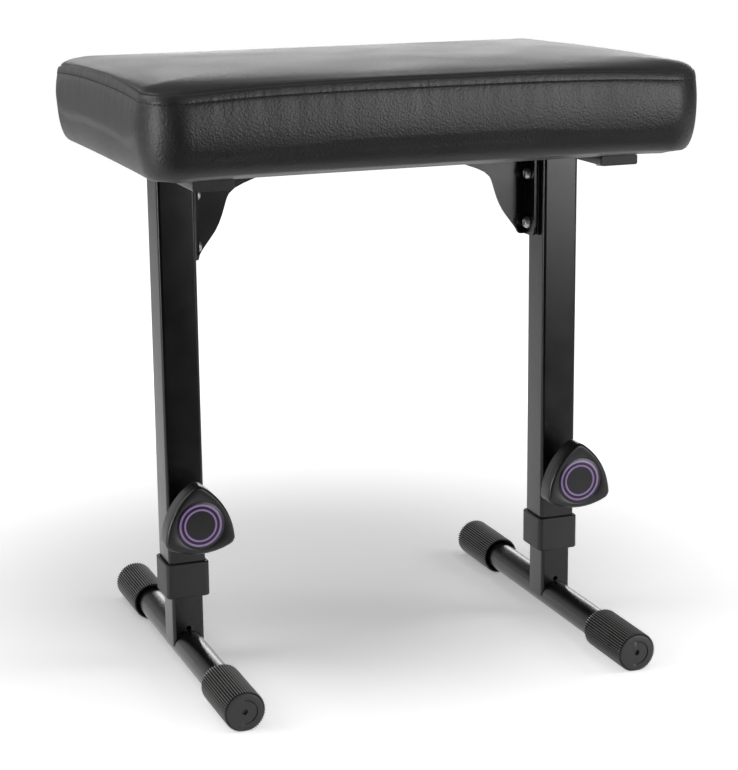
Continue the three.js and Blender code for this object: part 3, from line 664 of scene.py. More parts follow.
# %% Blow it up
VOXEL = 6 * MM
AIR_PRESSURE = 4.0
SIM_FRAMES = 20
POINT_STEP = 4
RING_STEP = 2
HELD_BESIDE_SEAM = 3 * MM
HELD_BELOW_SEAM = 14 * MM
HELD_ABOVE_FOLD = 4 * MM


def coarse_copy(fine):
    """A light copy of the cushion's outside, closed flat below, for the simulation."""
    light = fine[::RING_STEP, ::POINT_STEP]
    low = [0, 0, light[0, 0, 2]]
    top = fine[-1].mean(axis=0)
    return closed_piece("cushion start", light, low, top)


def blown_up(start):
    """The start remeshed evenly and swollen by pressure: points before and after, and triangles."""
    depsgraph = bpy.context.evaluated_depsgraph_get()
    remesh = start.modifiers.new("remesh", "REMESH")
    remesh.mode = "VOXEL"
    remesh.voxel_size = VOXEL
    depsgraph.update()
    even_mesh = bpy.data.meshes.new_from_object(start.evaluated_get(depsgraph))
    even = bpy.data.objects.new("cushion even", even_mesh)
    scene.collection.objects.link(even)
    before = np.array([tuple(vertex.co) for vertex in even_mesh.vertices])
    held = even.vertex_groups.new(name="held")
    height = before[:, 2] - SEAT_BASE
    near_seam = (edge_distance(before) < HELD_BESIDE_SEAM) & (height > SEAM_HEIGHT - HELD_BELOW_SEAM)
    below = height < FOLD_HEIGHT + HELD_ABOVE_FOLD
    held.add(np.nonzero(near_seam | below)[0].tolist(), 1.0, "REPLACE")
    cloth = even.modifiers.new("cloth", "CLOTH")
    cloth.settings.quality = 6
    cloth.settings.mass = 0.3
    cloth.settings.use_pressure = True
    cloth.settings.uniform_pressure_force = AIR_PRESSURE
    cloth.settings.vertex_group_mass = "held"
    cloth.settings.effector_weights.gravity = 0.0
    cloth.point_cache.frame_start = 1
    cloth.point_cache.frame_end = SIM_FRAMES
    for frame_number in range(1, SIM_FRAMES + 1):
        scene.frame_set(frame_number)
    depsgraph = bpy.context.evaluated_depsgraph_get()
    result = even.evaluated_get(depsgraph).to_mesh()
    after = np.array([tuple(vertex.co) for vertex in result.vertices])
    result.calc_loop_triangles()
    triangles = [tuple(triangle.vertices) for triangle in result.loop_triangles]
    bpy.data.objects.remove(even)
    bpy.data.objects.remove(start)
    scene.frame_set(1)
    return before, after, triangles


# %% [markdown]
# What matters is how far each place moved. That movement is capped, read off at the cushion's own
# points, and evened out. It is then scaled to the slimming, so that on the whole the cushion comes
# back to its drawn form, and of what still differs only a small, capped part is kept. It fades out
# towards the seam and the fold, where a step would show as a ridge in the shine.

# %% Carry the movement over
SWELL_CAP = 6 * MM
EVEN_PASSES = 24
UNLIKE_CAP = 0.7 * MM
SLIMMED_ENOUGH = 1.5 * MM
SEAM_FADE = 14 * MM
FOLD_FADE = 55 * MM


def swelling(points, before, after, triangles):
    """The capped movement of the blown-up copy, read off at each point."""
    movement = after - before
    length = np.linalg.norm(movement, axis=1, keepdims=True)
    movement *= SWELL_CAP * np.tanh(length / SWELL_CAP) / np.maximum(length, TINY)
    tree = BVHTree.FromPolygons(before.tolist(), triangles)
    found = np.zeros_like(points)
    for index, point in enumerate(points):
        place, _normal, face, _distance = tree.find_nearest(point.tolist())
        corners = before[list(triangles[face])]
        basis = np.column_stack([corners[1] - corners[0], corners[2] - corners[0]])
        (second, third), *_rest = np.linalg.lstsq(basis, np.array(place) - corners[0], rcond=None)
        found[index] = np.array([1 - second - third, second, third]) @ movement[list(triangles[face])]
    return found


def even_out(field):
    """Let every point drift towards its neighbours, round the seat and from ring to ring."""
    for _pass in range(EVEN_PASSES):
        around = (np.roll(field, 1, 1) + np.roll(field, -1, 1)) / 2
        across = field.copy()
        across[1:-1] = (field[:-2] + field[2:]) / 2
        field = 0.4 * field + 0.3 * around + 0.3 * across
    return field


def scale_to(found, wanted, distances):
    """Scale what was found on the side, and then on the top, to the size of what was wanted."""
    size = np.linalg.norm(wanted, axis=-1)
    share = (found * wanted).sum(axis=-1) / np.maximum(size, TINY) ** 2
    for part in (distances < 0, distances >= 0):
        middle = np.median(share[(size > SLIMMED_ENOUGH) & part[:, None]])
        print("the air filled", round(float(middle), 3), "of the slimming")
        found[part] /= middle


def spread_between(coarse, point_count):
    """Values for all the points of each ring, in between those of the coarse rings."""
    places = np.arange(point_count) / POINT_STEP
    low = np.floor(places).astype(int) % coarse.shape[1]
    high = (low + 1) % coarse.shape[1]
    weight = (places - np.floor(places))[None, :, None]
    return coarse[:, low] * (1 - weight) + coarse[:, high] * weight


def ease(share):
    share = np.clip(share, 0, 1)
    return share * share * (3 - 2 * share)


def simulate_cushion(fine, distances):
    shift = slimming(fine, distances)
    slim = fine + shift
    before, after, triangles = blown_up(coarse_copy(slim))
    coarse, wanted = slim[:, ::POINT_STEP], -shift[:, ::POINT_STEP]
    found = swelling(coarse.reshape(-1, 3), before, after, triangles).reshape(coarse.shape)
    found = even_out(found)
    scale_to(found, wanted, distances)
    unlike = UNLIKE_CAP * np.tanh((found - wanted) / UNLIKE_CAP)
    above_fold = distances + side_reach(distances)
    fade = ease(np.abs(distances) / SEAM_FADE) * ease(above_fold / FOLD_FADE)
    return fine + spread_between(unlike, fine.shape[1]) * fade[:, None, None]


shaped = simulate_cushion(rings, seam_distance)
print("most changed by the air", round(float(np.abs(shaped - rings).max()) / MM, 2), "mm")

# %% [markdown]
# Sewing comes after the simulation, because a remesh would wipe out anything so fine. The seam is a
# narrow crease with a raised strip below it, and the stitches run along the strip's lower edge.
# Thread under tension gathers the vinyl, so small puckers fan out from the stitch line and fade away.

# %% Normals and uneven waves
generator = np.random.default_rng(7)


def ring_normals(points):
    around = np.roll(points, -1, 1) - np.roll(points, 1, 1)
    across = np.zeros_like(points)
    across[1:-1] = points[2:] - points[:-2]
    across[0], across[-1] = points[1] - points[0], points[-1] - points[-2]
    normals = np.cross(around, across)
    return normals / (np.linalg.norm(normals, axis=-1, keepdims=True) + 1e-12)


def bell(values, centre, width):
    return np.exp(-(((values - centre) / width) ** 2))


def ripple(along, waves, shortest, longest):
    """A smooth uneven wave along the seam that closes on itself, between -1 and 1."""
    total = along[-1]
    counts = generator.integers(int(total / longest), int(total / shortest), waves)
    phases = generator.uniform(0, 2 * math.pi, waves)
    turns = 2 * math.pi * along / total
    wave = sum(np.sin(count * turns + phase) for count, phase in zip(counts, phases))
    return wave / np.abs(wave).max()


# %% [markdown]
# Crease, strip, thread groove and puckers all depend on the distance from the seam, and the puckers
# also on the place along it. So each is a simple curve, and their sum moves the surface along its
# normal. A bell curve makes whatever should fade away on both sides.

# %% Seam, raised strip and puckers
STITCH_LINE = 8.5 * MM
CREASE_DEPTH = 0.45 * MM
CREASE_WIDTH = 0.9 * MM
STRIP_HEIGHT = 0.2 * MM
STRIP_START = 0.8 * MM
STRIP_SLOPE = 1.5 * MM
THREAD_GROOVE = 0.12 * MM
THREAD_GROOVE_WIDTH = 0.7 * MM
PUCKER_DEPTH = 0.32 * MM
TOP_PUCKER_DEPTH = 0.12 * MM
TIP_REACH = 1.0 * MM
TIP_START = 0.93
FOLD_LIP = 0.5 * MM


def sewn_relief(points, distances):
    """How far the sewing lifts each point of the surface, in metres along its normal."""
    seam = points[np.argmin(np.abs(distances))]
    steps = np.linalg.norm(np.roll(seam, -1, 0) - seam, axis=1)
    along = np.concatenate([[0], np.cumsum(steps)])[: len(seam)]
    away = distances[:, None]
    crease = -CREASE_DEPTH * bell(away, 0, CREASE_WIDTH)
    below_crease = np.clip((-away - STRIP_START) / STRIP_SLOPE, 0, 1)
    above_stitches = np.clip((away + STITCH_LINE) / STRIP_SLOPE, 0, 1)
    strip = STRIP_HEIGHT * below_crease * above_stitches
    thread_groove = -THREAD_GROOVE * bell(away, -STITCH_LINE, THREAD_GROOVE_WIDTH)
    gather = ripple(along, 14, 5 * MM, 11 * MM) * (0.55 + 0.45 * ripple(along, 6, 60 * MM, 200 * MM))
    long_folds = ripple(along, 10, 14 * MM, 34 * MM)
    near = bell(away, -STITCH_LINE, 6.5 * MM) * (away < 0)
    reach = bell(away, -STITCH_LINE, 22 * MM) * (away < -1 * MM)
    puckers = PUCKER_DEPTH * (near * gather + 0.45 * reach * long_folds)
    top_near = bell(away, 2 * MM, 4 * MM) * (away > 0)
    top_puckers = TOP_PUCKER_DEPTH * ripple(along, 10, 7 * MM, 16 * MM) * top_near
    corner = np.abs(seam[:, 0] * seam[:, 1])
    at_tip = np.clip((corner / corner.max() - TIP_START) / (1 - TIP_START), 0, 1)
    tips = TIP_REACH * at_tip * bell(away, 0, 1.6 * MM)
    lip = FOLD_LIP * bell(away, -side_reach(distances), 1.5 * MM)
    return crease + strip + thread_groove + puckers + top_puckers + tips + lip


relief = sewn_relief(shaped, seam_distance)
sewn = shaped + ring_normals(shaped) * relief[..., None]
print("sewing moves the cover", round(relief.min() / MM, 2), "to", round(relief.max() / MM, 2), "mm")

# %% [markdown]
# The cushion is one closed body: outside from the lip to the top, and inside a hollow that stays
# clear of the board it is stapled to.

# %% Build the cushion
BOARD_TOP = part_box("seat_board")[1].z
COVER = 1.3 * MM
CLEAR = 0.3 * MM


def hollow_rings():
    """The inside, from the middle of the board's top, round the board, to the lip."""
    over_board = BOARD_TOP + CLEAR - SEAT_BASE
    side = FOLD_INSET + COVER
    levels = [
        (0.3, TUCK_INSET, over_board), (0.6, TUCK_INSET, over_board), (0.85, TUCK_INSET, over_board),
        (1.0, side + 1 * MM, over_board), (1.0, side, over_board - 1 * MM),
        (1.0, side, FOLD_HEIGHT + COVER), (1.0, TUCK_INSET + COVER, COVER), (1.0, LIP_INSET, COVER),
    ]
    rings = []
    for share, inset, height in levels:
        ring = seat_ring(inset, height)
        ring[:, :2] *= share
        rings.append(ring)
    return np.array(rings)


body_rings = np.concatenate([hollow_rings(), sewn])
hollow_top = (0, 0, BOARD_TOP + CLEAR)
crown_top = (0, 0, sewn[-1, :, 2].mean() + 0.02 * MM)
cushion = closed_piece("seat_cushion", body_rings, hollow_top, crown_top)
print("cushion", len(cushion.data.polygons), "faces")
cushion.data.materials.append(materials["seat_vinyl"])
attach(cushion, "root")
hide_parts("seat_cover", "seat_foam")

# %% [markdown]
# Each stitch is a short thread that dips into the vinyl at both ends. All of them are one mesh of
# small tapered capsules, set one after another along the stitch line at an even pitch.

# %% Stitches
STITCH_PITCH = 4.0 * MM
STITCH_LENGTH = 2.7 * MM
THREAD_RADIUS = 0.32 * MM
THREAD_SIDES = 6
STITCH_SHARES = (-0.5, -0.42, -0.2, 0.2, 0.42, 0.5)
STITCH_TAPER = (0.35, 0.8, 1.0, 1.0, 0.8, 0.35)
STITCH_LIFTS = np.array([-0.4, -0.1, 0.1, 0.1, -0.1, -0.4]) * MM


def along_ring(ring, places):
    """Points on a closed ring at given distances, and the direction of travel there."""
    closed = np.vstack([ring, ring[:1]])
    lengths = np.concatenate([[0], np.cumsum(np.linalg.norm(np.diff(closed, axis=0), axis=1))])

    def at(wanted):
        wrapped = wanted % lengths[-1]
        return np.column_stack([np.interp(wrapped, lengths, closed[:, axis]) for axis in range(3)])

    ahead = at(places + 0.5 * MM) - at(places - 0.5 * MM)
    return at(places), ahead / np.linalg.norm(ahead, axis=1, keepdims=True), lengths[-1]


def stitch_mesh():
    ring_index = int(np.argmin(np.abs(seam_distance + STITCH_LINE)))
    ring = sewn[ring_index]
    normals = ring_normals(sewn)[ring_index]
    _point, _way, total = along_ring(ring, np.zeros(1))
    count = int(total / STITCH_PITCH)
    middles = (np.arange(count) + 0.5) * total / count
    turns = np.arange(THREAD_SIDES) * 2 * math.pi / THREAD_SIDES
    points, faces = [], []
    for share, taper, lift in zip(STITCH_SHARES, STITCH_TAPER, STITCH_LIFTS):
        centres, ways, _total = along_ring(ring, middles + share * STITCH_LENGTH)
        nearest = np.array([np.argmin(((ring - centre) ** 2).sum(axis=1)) for centre in centres])
        out = normals[nearest]
        side = np.cross(ways, out)
        spun = np.cos(turns)[None, :, None] * out[:, None] + np.sin(turns)[None, :, None] * side[:, None]
        points.append(centres[:, None] + out[:, None] * lift + spun * (taper * THREAD_RADIUS))
    stacked = np.stack(points, axis=1)
    stations = len(STITCH_SHARES)
    for stitch in range(count):
        first = stitch * stations * THREAD_SIDES
        faces += ring_faces(stations, THREAD_SIDES, first).tolist()
        faces.append(list(range(first + THREAD_SIDES - 1, first - 1, -1)))
        faces.append(list(range(first + (stations - 1) * THREAD_SIDES, first + stations * THREAD_SIDES)))
    mesh = bpy.data.meshes.new("seat_stitches")
    mesh.from_pydata(stacked.reshape(-1, 3).tolist(), [], faces)
    mesh.polygons.foreach_set("use_smooth", [True] * len(mesh.polygons))
    return mesh, count


thread_mesh, stitch_count = stitch_mesh()
stitches = bpy.data.objects.new("seat_stitches", thread_mesh)
scene.collection.objects.link(stitches)
stitches.data.materials.append(thread_material)
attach(stitches, "root")
print("stitches", stitch_count)

# %% [markdown]
# The rubber foot caps have rounded ribs along their length, a flat end with a ring and a dimple, and
# a mouth that grips the steel bar. A cap is built of rings along its axis, from the dimple out over
# the end face, along the ribs and back into the mouth, so the whole profile is one list.

# %% Profile of a foot cap
END_RADIUS = 15.2 * MM
RING_GROOVE = 9.7 * MM
DIMPLE = 2.1 * MM
DIMPLE_DEPTH = 2.5 * MM
RIB_STATIONS = 12
PLAIN, RIBBED, GROOVED = (0, 0), (1, 0), (0, 1)


def cap_profile(length, radius, bore):
    """Along the axis from the end face, radius, depth of the ribs, and depth of the ring's groove."""
    fine = 0.3 * MM
    inner, outer = RING_GROOVE - fine, RING_GROOVE + fine
    dimple = [
        (DIMPLE_DEPTH, DIMPLE * 0.2, *PLAIN), (DIMPLE_DEPTH, DIMPLE * 0.8, *PLAIN),
        (fine, DIMPLE, *PLAIN), (0, DIMPLE + fine, *PLAIN),
    ]
    ring = [
        (0, inner - fine, *PLAIN), (0, inner, *GROOVED), (0, outer, *GROOVED), (0, outer + fine, *PLAIN),
    ]
    rim = [
        (0, END_RADIUS - 0.8 * MM, *PLAIN), (0.15 * MM, END_RADIUS - fine, *PLAIN),
        (0.5 * MM, END_RADIUS, *PLAIN), (0.6 * MM, END_RADIUS + fine, *PLAIN),
    ]
    ribs = [(0.7 * MM, radius - fine, *RIBBED), (1.2 * MM, radius, *RIBBED)]
    for place in np.linspace(4 * MM, length - 3 * MM, RIB_STATIONS):
        ribs.append((place, radius, *RIBBED))
    ribs += [(length - 0.7 * MM, radius, *RIBBED), (length - 0.2 * MM, radius - 0.2 * MM, *RIBBED)]
    mouth = [
        (length, radius - 0.5 * MM, 0.7, 0), (length, bore + 2.1 * MM, *PLAIN),
        (length - 2 * fine, bore + 1.8 * MM, *PLAIN), (length - 7 * MM, bore + 2 * fine, *PLAIN),
        (length - 8 * MM, bore, *PLAIN), (6.5 * MM, bore, *PLAIN), (6 * MM, bore * 0.6, *PLAIN),
    ]
    return dimple + ring + rim + ribs + mouth


cap_low, cap_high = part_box("left_foot_cap_front")
CAP_RADIUS = (cap_high.x - cap_low.x) / 2
print("a cap is", round(2 * CAP_RADIUS / MM, 1), "mm across")

# %% [markdown]
# The tops of the ribs are painted a soft grey as a painted highlight, and the grooves between them
# near black as a painted shade; the tops are also rubbed smoother. A painted mask would need a texture,
# but the distance from the cap's own axis already tells a rib from a groove, so the colour and the
# roughness are read from that.

# %% Ribbed rubber
RIB_DEPTH = 1.4 * MM


def distance_from_axis(tree):
    """How far a point lies from the line that runs front to back through its piece's origin."""
    place = add_node(tree, "ShaderNodeTexCoord").outputs["Object"]
    flat = add_node(tree, "ShaderNodeVectorMath", {0: place, 1: (1.0, 0.0, 1.0)}, operation="MULTIPLY")
    away = add_node(tree, "ShaderNodeVectorMath", {0: flat.outputs[0]}, operation="LENGTH")
    return away.outputs["Value"]


def ribbed_rubber():
    material, tree, shader = start_material("ribbed rubber")
    away = distance_from_axis(tree)
    top = map_range(tree, away, (CAP_RADIUS - 0.85 * RIB_DEPTH, CAP_RADIUS - 0.4 * RIB_DEPTH))
    end = map_range(tree, away, (END_RADIUS + 0.2 * MM, END_RADIUS - 0.2 * MM))
    grain = use_group(tree, GRAIN, cells_per_metre=1800.0, mottle_per_metre=40.0)
    dust = use_group(tree, DUST, amount=0.2, patches_per_metre=70.0)
    # Painted highlight and painted shade: the rib tops are painted light grey and the grooves near black.
    painted_rib_highlight_and_shade = mix_colours(tree, top, grey(0.001), grey(0.24))
    plain = mix_colours(tree, end, painted_rib_highlight_and_shade, grey(0.045))
    dusted = mix_colours(tree, dust.outputs["Mask"], plain, (0.30, 0.29, 0.27, 1.0))
    tree.links.new(dusted, shader.inputs["Base Color"])
    rubbed = combine(tree, "MAXIMUM", top, end)
    tree.links.new(map_range(tree, rubbed, (0.0, 1.0), (0.95, 0.36)), shader.inputs["Roughness"])
    bump(tree, shader, grain.outputs["Height"], relief=0.03 * MM)
    return material


rubber_material = ribbed_rubber()
print("cap finish", rubber_material.name)

# %% [markdown]
# The ribs are a wave in the radius of each ring, sharpened by a power so that the grooves stay
# narrow. The bench's weight presses a cap flat where it stands, so no point may lie below the floor.

# %% Foot caps
RIB_COUNT = 48
POINTS_PER_RIB = 8
RIB_SHARPNESS = 3.5
RING_DEPTH = 1.0 * MM
RING_ARC_SHARE = 0.35
PRESSED_FLAT = 1 * MM


def foot_cap(side, end):
    node = f"{side}_foot_cap_{end}"
    low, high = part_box(node)
    bar_low, bar_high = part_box(f"{side}_foot_bar")
    outward, face = (-1, low.y) if end == "front" else (1, high.y)
    radius = (high.x - low.x) / 2
    bore = (bar_high.x - bar_low.x) / 2 + CLEAR
    centre = Vector(((low.x + high.x) / 2, face, low.z + radius - PRESSED_FLAT))
    count = RIB_COUNT * POINTS_PER_RIB
    turns = np.arange(count) * 2 * math.pi / count
    wave = np.abs(np.sin(turns * RIB_COUNT / 2)) ** RIB_SHARPNESS
    ring_arc = np.clip(np.cos(turns) + RING_ARC_SHARE, 0, 1)
    rings = []
    for place, size, ribs, groove in cap_profile(high.y - low.y, radius, bore):
        reach = size - RIB_DEPTH * ribs * (1 - wave)
        x = centre.x + reach * np.cos(turns) * -outward
        z = centre.z + reach * np.sin(turns)
        y = face - outward * (place + RING_DEPTH * groove * ring_arc)
        rings.append(np.column_stack([x, y, np.maximum(z, low.z)]))
    start = (centre.x, rings[0][0, 1], centre.z)
    inside = (centre.x, rings[-1][0, 1], centre.z)
    cap = closed_piece(node + "_ribbed", rings, start, inside, origin=centre)
    cap.data.materials.append(rubber_material)
    shade_by_angle(cap)
    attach(cap, f"{side}_lower_leg")
    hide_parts(node)
    return cap


caps = [foot_cap(side, end) for side in SIDES for end in ("front", "back")]
print("foot caps", [cap.name for cap in caps])

# %% [markdown]
# The clamp knobs are three-sided: three corner arcs joined by three shallow side arcs that run into
# them smoothly. Drawn as arcs, the outline can be moved in by any amount and keeps its shape, which
# is all that a chamfer needs.

# %% Outline of a knob
KNOB_CORNER_REACH = 32.4 * MM
KNOB_CORNER_RADIUS = 7 * MM
KNOB_SIDE_BULGE = 5 * MM
KNOB_CORNER_CENTRE = KNOB_CORNER_REACH - KNOB_CORNER_RADIUS
KNOB_SIDE_REACH = KNOB_CORNER_CENTRE / 2 + KNOB_SIDE_BULGE + KNOB_CORNER_RADIUS
KNOB_CORNER_STEPS = 16
KNOB_SIDE_STEPS = 28


def knob_outline(inset):
    """Three sides and three corners round the axis, moved in by the inset: points across the face."""
    corner_reach = KNOB_SIDE_REACH - KNOB_CORNER_RADIUS
    side_centre = (KNOB_CORNER_CENTRE**2 - corner_reach**2) / (2 * KNOB_SIDE_BULGE)
    across = KNOB_CORNER_CENTRE * math.sin(math.pi / 3)
    half = math.atan2(across, side_centre + KNOB_CORNER_CENTRE / 2)
    turn = math.pi / 3 - half
    side_radius = KNOB_SIDE_REACH + side_centre - inset

    def arc(direction, centre, radius, sweep, steps):
        angles = direction - sweep + 2 * sweep * np.arange(steps) / steps
        middle = centre * np.array([math.cos(direction), math.sin(direction)])
        return middle + radius * np.column_stack([np.cos(angles), np.sin(angles)])

    parts = []
    for corner in range(3):
        vertex = math.pi / 2 + corner * 2 * math.pi / 3
        parts.append(arc(vertex - math.pi / 3, -side_centre, side_radius, half, KNOB_SIDE_STEPS))
        parts.append(arc(vertex, KNOB_CORNER_CENTRE, KNOB_CORNER_RADIUS - inset, turn, KNOB_CORNER_STEPS))
    return np.vstack(parts)


print("knob reaches", KNOB_CORNER_REACH / MM, "mm at a corner and", KNOB_SIDE_REACH / MM, "mm at a side")

# %% [markdown]
# Two pale rings with dark outlines are printed on the knob's face. They are bands in the distance
# from the knob's axis, so a colour ramp with hard steps draws them, and a mask keeps them off the
# sides and the back.

# %% Knob plastic with printed rings
BAND_START = 10 * MM
BAND_REACH = 12 * MM
BAND_END = 18.9 * MM
FACE_START, FACE_END = 0.6 * MM, 0.4 * MM


def ringed_plastic():
    material, tree, shader = start_material("knob plastic with printed rings")
    away = distance_from_axis(tree)
    ramp = add_node(tree, "ShaderNodeValToRGB", {
        "Fac": map_range(tree, away, (BAND_START, BAND_START + BAND_REACH)),
    })
    pale, dark, clear = (0.70, 0.53, 0.86, 1.0), (0.060, 0.008, 0.130, 1.0), (0.0, 0.0, 0.0, 0.0)
    ramp.color_ramp.interpolation = "CONSTANT"
    inside, outside = ramp.color_ramp.elements
    inside.color = clear
    outside.color = clear
    outside.position = (BAND_END - BAND_START) / BAND_REACH
    for radius, colour in ((11.3, dark), (12.3, pale), (13.8, dark), (16.1, pale), (17.8, dark)):
        element = ramp.color_ramp.elements.new((radius * MM - BAND_START) / BAND_REACH)
        element.color = colour
    place = add_node(tree, "ShaderNodeTexCoord").outputs["Object"]
    parts = add_node(tree, "ShaderNodeSeparateXYZ", {"Vector": place})
    front = map_range(tree, parts.outputs["Y"], (FACE_START, FACE_END))
    printed = combine(tree, "MULTIPLY", ramp.outputs["Alpha"], front)
    grain = use_group(tree, GRAIN, cells_per_metre=2600.0, mottle_per_metre=40.0)
    edges = use_group(tree, EDGE_WEAR, radius=0.9 * MM, amount=0.5)
    plain = mix_colours(tree, edges.outputs["Mask"], grey(0.018), grey(0.09))
    tone = mix_colours(tree, printed, plain, ramp.outputs["Color"])
    grained_surface(tree, shader, tone, grain, rough=(0.26, 0.34), relief=0.02 * MM)
    return material


knob_material = ringed_plastic()
print("knob finish", knob_material.name)

# %% [markdown]
# A knob is one moulding: a round hub towards the clamp, the three-sided body with a narrow flat
# chamfer round its face, and a fine joint round the flush disc in the middle. Every ring has the
# points of the outline, round rings too, so one list of rings runs from the hub to the face.

# %% Knobs
KNOB_HUB_RADIUS = 14 * MM
KNOB_HUB_HEIGHT = 9 * MM
KNOB_CHAMFER = 1.7 * MM
KNOB_DOME = 0.13 * MM
JOINT_CLEAR = 0.3 * MM
JOINT_GROOVE = ((0.35, -0.1), (0.15, 0.0), (0.0, 0.2), (-0.15, 0.0), (-0.35, -0.1))


def hub_rows(depth):
    """Rings of the hub from its back end: radius, and how far back from the face."""
    rounding = 0.4 * MM
    end = depth + KNOB_HUB_HEIGHT
    return [
        (KNOB_HUB_RADIUS - rounding, end), (KNOB_HUB_RADIUS, end - rounding),
        (KNOB_HUB_RADIUS, depth + 0.3 * MM), (KNOB_HUB_RADIUS + 0.3 * MM, depth),
    ]


def body_rows(depth):
    """Rings of the body from the back: how far back from the face, and how far in from the side."""
    return [
        (depth, 9 * MM), (depth, 2 * MM), (depth - 0.3 * MM, 0.6 * MM), (depth - 1 * MM, 0.0),
        (KNOB_CHAMFER + 8 * MM, 0.0), (KNOB_CHAMFER + 0.4 * MM, 0.0), (KNOB_CHAMFER, 0.08 * MM),
        (0.12 * MM, KNOB_CHAMFER - 0.15 * MM), (0.0, KNOB_CHAMFER + 0.2 * MM),
        (-0.05 * MM, 2.6 * MM), (-0.1 * MM, 3.6 * MM),
    ]


def disc_rows(joint):
    """Rings of the joint round the disc, and of the disc, which is very slightly domed."""
    groove = [(joint + out * MM, back * MM) for out, back in JOINT_GROOVE]
    return groove + [(joint * 0.7, -0.12 * MM), (joint * 0.35, -KNOB_DOME)]


def knob(side):
    low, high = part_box(f"{side}_knob")
    disc_low, disc_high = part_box(f"{side}_knob_badge")
    depth = high.y - low.y - KNOB_HUB_HEIGHT
    joint = (disc_high.x - disc_low.x) / 2 + JOINT_CLEAR
    centre = Vector(((low.x + high.x) / 2, low.y, low.z + KNOB_SIDE_REACH))
    body = [(knob_outline(inset), back) for back, inset in body_rows(depth)]
    last = body[-1][0]
    circle = last / np.linalg.norm(last, axis=1, keepdims=True)
    hub = [(radius * circle, back) for radius, back in hub_rows(depth)]
    disc = [(radius * circle, back) for radius, back in disc_rows(joint)]
    rings = []
    for across, back in hub + body + disc:
        y = np.full(len(across), centre.y + back)
        rings.append(np.column_stack([centre.x + across[:, 0], y, centre.z + across[:, 1]]))
    start = (centre.x, high.y, centre.z)
    front = (centre.x, centre.y - KNOB_DOME, centre.z)
    piece = closed_piece(f"{side}_knob_moulding", rings, start, front, origin=centre)
    piece.data.materials.append(knob_material)
    shade_by_angle(piece)
    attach(piece, f"{side}_knob")
    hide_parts(f"{side}_knob", f"{side}_knob_badge")
    return piece


knobs = [knob(side) for side in SIDES]
print("knobs", [piece.name for piece in knobs])

# %% [markdown]
# Seven rectangular lamps light the bench. The wide one overhead and the one at the right give the
# broad light and are hidden from reflections. Three are the other way round: the panel behind, the
# lamp at the left and the panel in front at the right are seen only as reflections, because that is
# what gives shiny vinyl and painted tubes their form. The other two do both.

# %% Lamps
def softbox(name, place, aim, size, radiance, diffuse=True, glossy=True):
    data = bpy.data.lights.new(name, "AREA")
    data.shape = "RECTANGLE"
    data.size, data.size_y = size
    data.energy = radiance * math.pi * size[0] * size[1]
    lamp = bpy.data.objects.new(name, data)
    lamp.location = place
    lamp.rotation_euler = (Vector(aim) - Vector(place)).to_track_quat("-Z", "Y").to_euler()
    lamp.visible_camera = False
    lamp.visible_diffuse = diffuse
    lamp.visible_glossy = glossy
    scene.collection.objects.link(lamp)
    return lamp


lamps = [
    softbox("overhead lamp", (0.0, 0.0, 1.9), (0, 0, 0.2), (2.2, 1.8), 1.3, glossy=False),
    softbox("right lamp", (1.7, -0.5, 1.2), (0, 0, 0.1), (0.8, 0.8), 3.5, glossy=False),
    softbox("back panel", (1.1, 2.6, 0.7), (0.1, 0, 0.5), (2.2, 0.5), 5.0, diffuse=False),
    softbox("front lamp", (0.7, -2.2, 1.0), (0, 0, 0.35), (1.4, 1.2), 0.9),
    softbox("left lamp", (-2.2, -0.55, 0.4), (0, 0, 0.35), (0.6, 1.0), 9.0, diffuse=False),
    softbox("upper left lamp", (-1.8, 0.4, 1.5), (0, 0, 0.3), (1.2, 1.2), 3.0),
    softbox("front right panel", (2.4, -3.4, 0.53), (0.2, 0, 0.4), (2.2, 1.54), 5.8, diffuse=False),
]
print("lamps", len(lamps))

# %% [markdown]
# The background is white to the camera and almost dark to lit surfaces, so it adds hardly any light.
# Reflections see a bright band low behind the bench instead, as a pale sweep of paper would give.

# %% Backdrop
AMBIENT = 0.02
SWEEP = 0.6
BAND_FADES = (("Y", 0.2, 0.7, 0.0), ("Z", 0.5, 0.2, 0.0), ("Z", -0.12, 0.0, 0.35))


def studio_world():
    world = bpy.data.worlds.new("studio")
    scene.world = world
    world.use_nodes = True
    tree = world.node_tree
    tree.nodes.clear()
    rays = add_node(tree, "ShaderNodeLightPath")
    way = add_node(tree, "ShaderNodeSeparateXYZ", {
        "Vector": add_node(tree, "ShaderNodeTexCoord").outputs["Generated"],
    })
    band = any_of(tree, rays, ("Is Glossy Ray", "Is Transmission Ray"))
    for axis, start, end, least in BAND_FADES:
        fade = map_range(
            tree, way.outputs[axis], (start, end), (least, 1.0), interpolation_type="SMOOTHSTEP"
        )
        band = combine(tree, "MULTIPLY", band, fade)
    level = combine(tree, "ADD", combine(tree, "MULTIPLY", band, SWEEP), AMBIENT)
    level = combine(tree, "MAXIMUM", level, rays.outputs["Is Camera Ray"])
    light = add_node(tree, "ShaderNodeBackground", {"Color": grey(1.0), "Strength": level})
    leave = add_node(tree, "ShaderNodeOutputWorld")
    tree.links.new(light.outputs[0], leave.inputs["Surface"])
    return world


print("backdrop", studio_world().name)

# %% [markdown]
# The floor keeps the lamps' real shadows, but they alone leave too little of the wide soft shade
# that lies between the feet. So the floor also glows to the camera, less inside an ellipse behind
# the feet and fully farther out, where it turns as white as the backdrop.

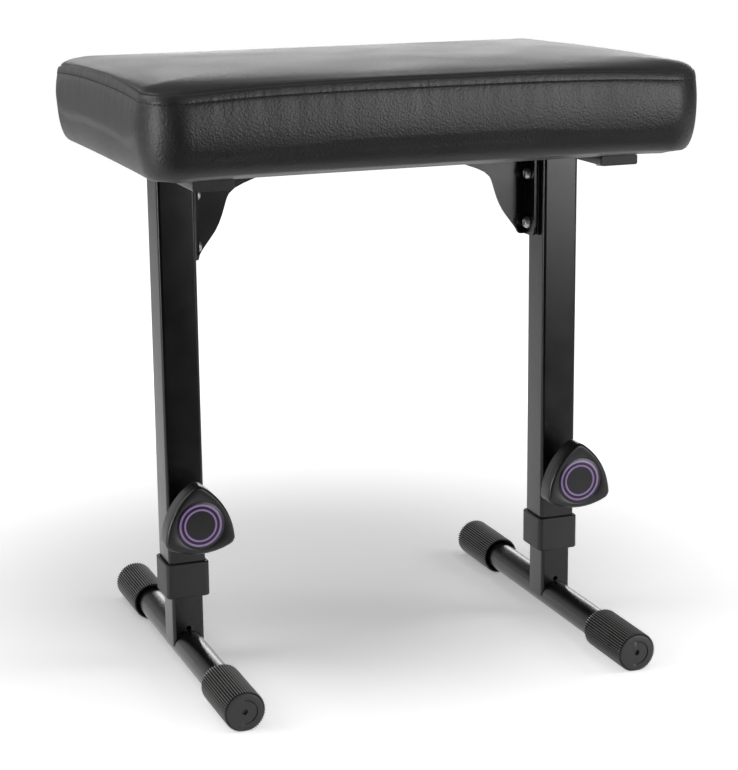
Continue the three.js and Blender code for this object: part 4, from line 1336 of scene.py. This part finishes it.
# %% Floor
FLOOR_FRONT, FLOOR_BACK, FLOOR_HALF_WIDTH = -0.45, 3.0, 2.5
SHADE_CENTRE = (0.0, 0.2, 0.0)
SHADE_STRETCH = 1.1
FLOOR_LIFTS = ((0.1, 0.45, 0.22, 0.62), (0.35, 0.75, 0.0, 0.4))
MIRRORED = 0.5


def floor_glow(tree):
    """The drawn shade for the camera, and an even paleness for reflections."""
    place = add_node(tree, "ShaderNodeTexCoord").outputs["Object"]
    shift = add_node(tree, "ShaderNodeVectorMath", {0: place, 1: SHADE_CENTRE}, operation="SUBTRACT")
    squeeze = (1 / SHADE_STRETCH, 1.0, 1.0)
    ellipse = add_node(tree, "ShaderNodeVectorMath", {
        0: shift.outputs[0], 1: squeeze,
    }, operation="MULTIPLY")
    away = add_node(tree, "ShaderNodeVectorMath", {0: ellipse.outputs[0]}, operation="LENGTH")
    lift = 0.0
    for start, end, first, last in FLOOR_LIFTS:
        rising = map_range(
            tree, away.outputs["Value"], (start, end), (first, last), interpolation_type="SMOOTHSTEP"
        )
        lift = combine(tree, "ADD", rising, lift)
    rays = add_node(tree, "ShaderNodeLightPath")
    seen = combine(tree, "MULTIPLY", lift, rays.outputs["Is Camera Ray"])
    reflected = any_of(tree, rays, ("Is Glossy Ray", "Is Transmission Ray"))
    return combine(tree, "ADD", seen, combine(tree, "MULTIPLY", reflected, MIRRORED))


def studio_floor():
    mesh = bpy.data.meshes.new("floor")
    corners = [
        (-FLOOR_HALF_WIDTH, FLOOR_FRONT, 0), (FLOOR_HALF_WIDTH, FLOOR_FRONT, 0),
        (FLOOR_HALF_WIDTH, FLOOR_BACK, 0), (-FLOOR_HALF_WIDTH, FLOOR_BACK, 0),
    ]
    mesh.from_pydata(corners, [], [(0, 1, 2, 3)])
    floor = bpy.data.objects.new("floor", mesh)
    scene.collection.objects.link(floor)
    material, tree, shader = start_material(
        "pale floor", base_color=grey(0.9), roughness=0.9, specular_ior_level=0.0, emission_color=grey(1.0)
    )
    tree.links.new(floor_glow(tree), shader.inputs["Emission Strength"])
    mesh.materials.append(material)
    # The legs get longer downwards, so the floor keeps to the left foot and stays in view below it.
    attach(floor, "left_lower_leg")
    return floor


print("floor", studio_floor().name)
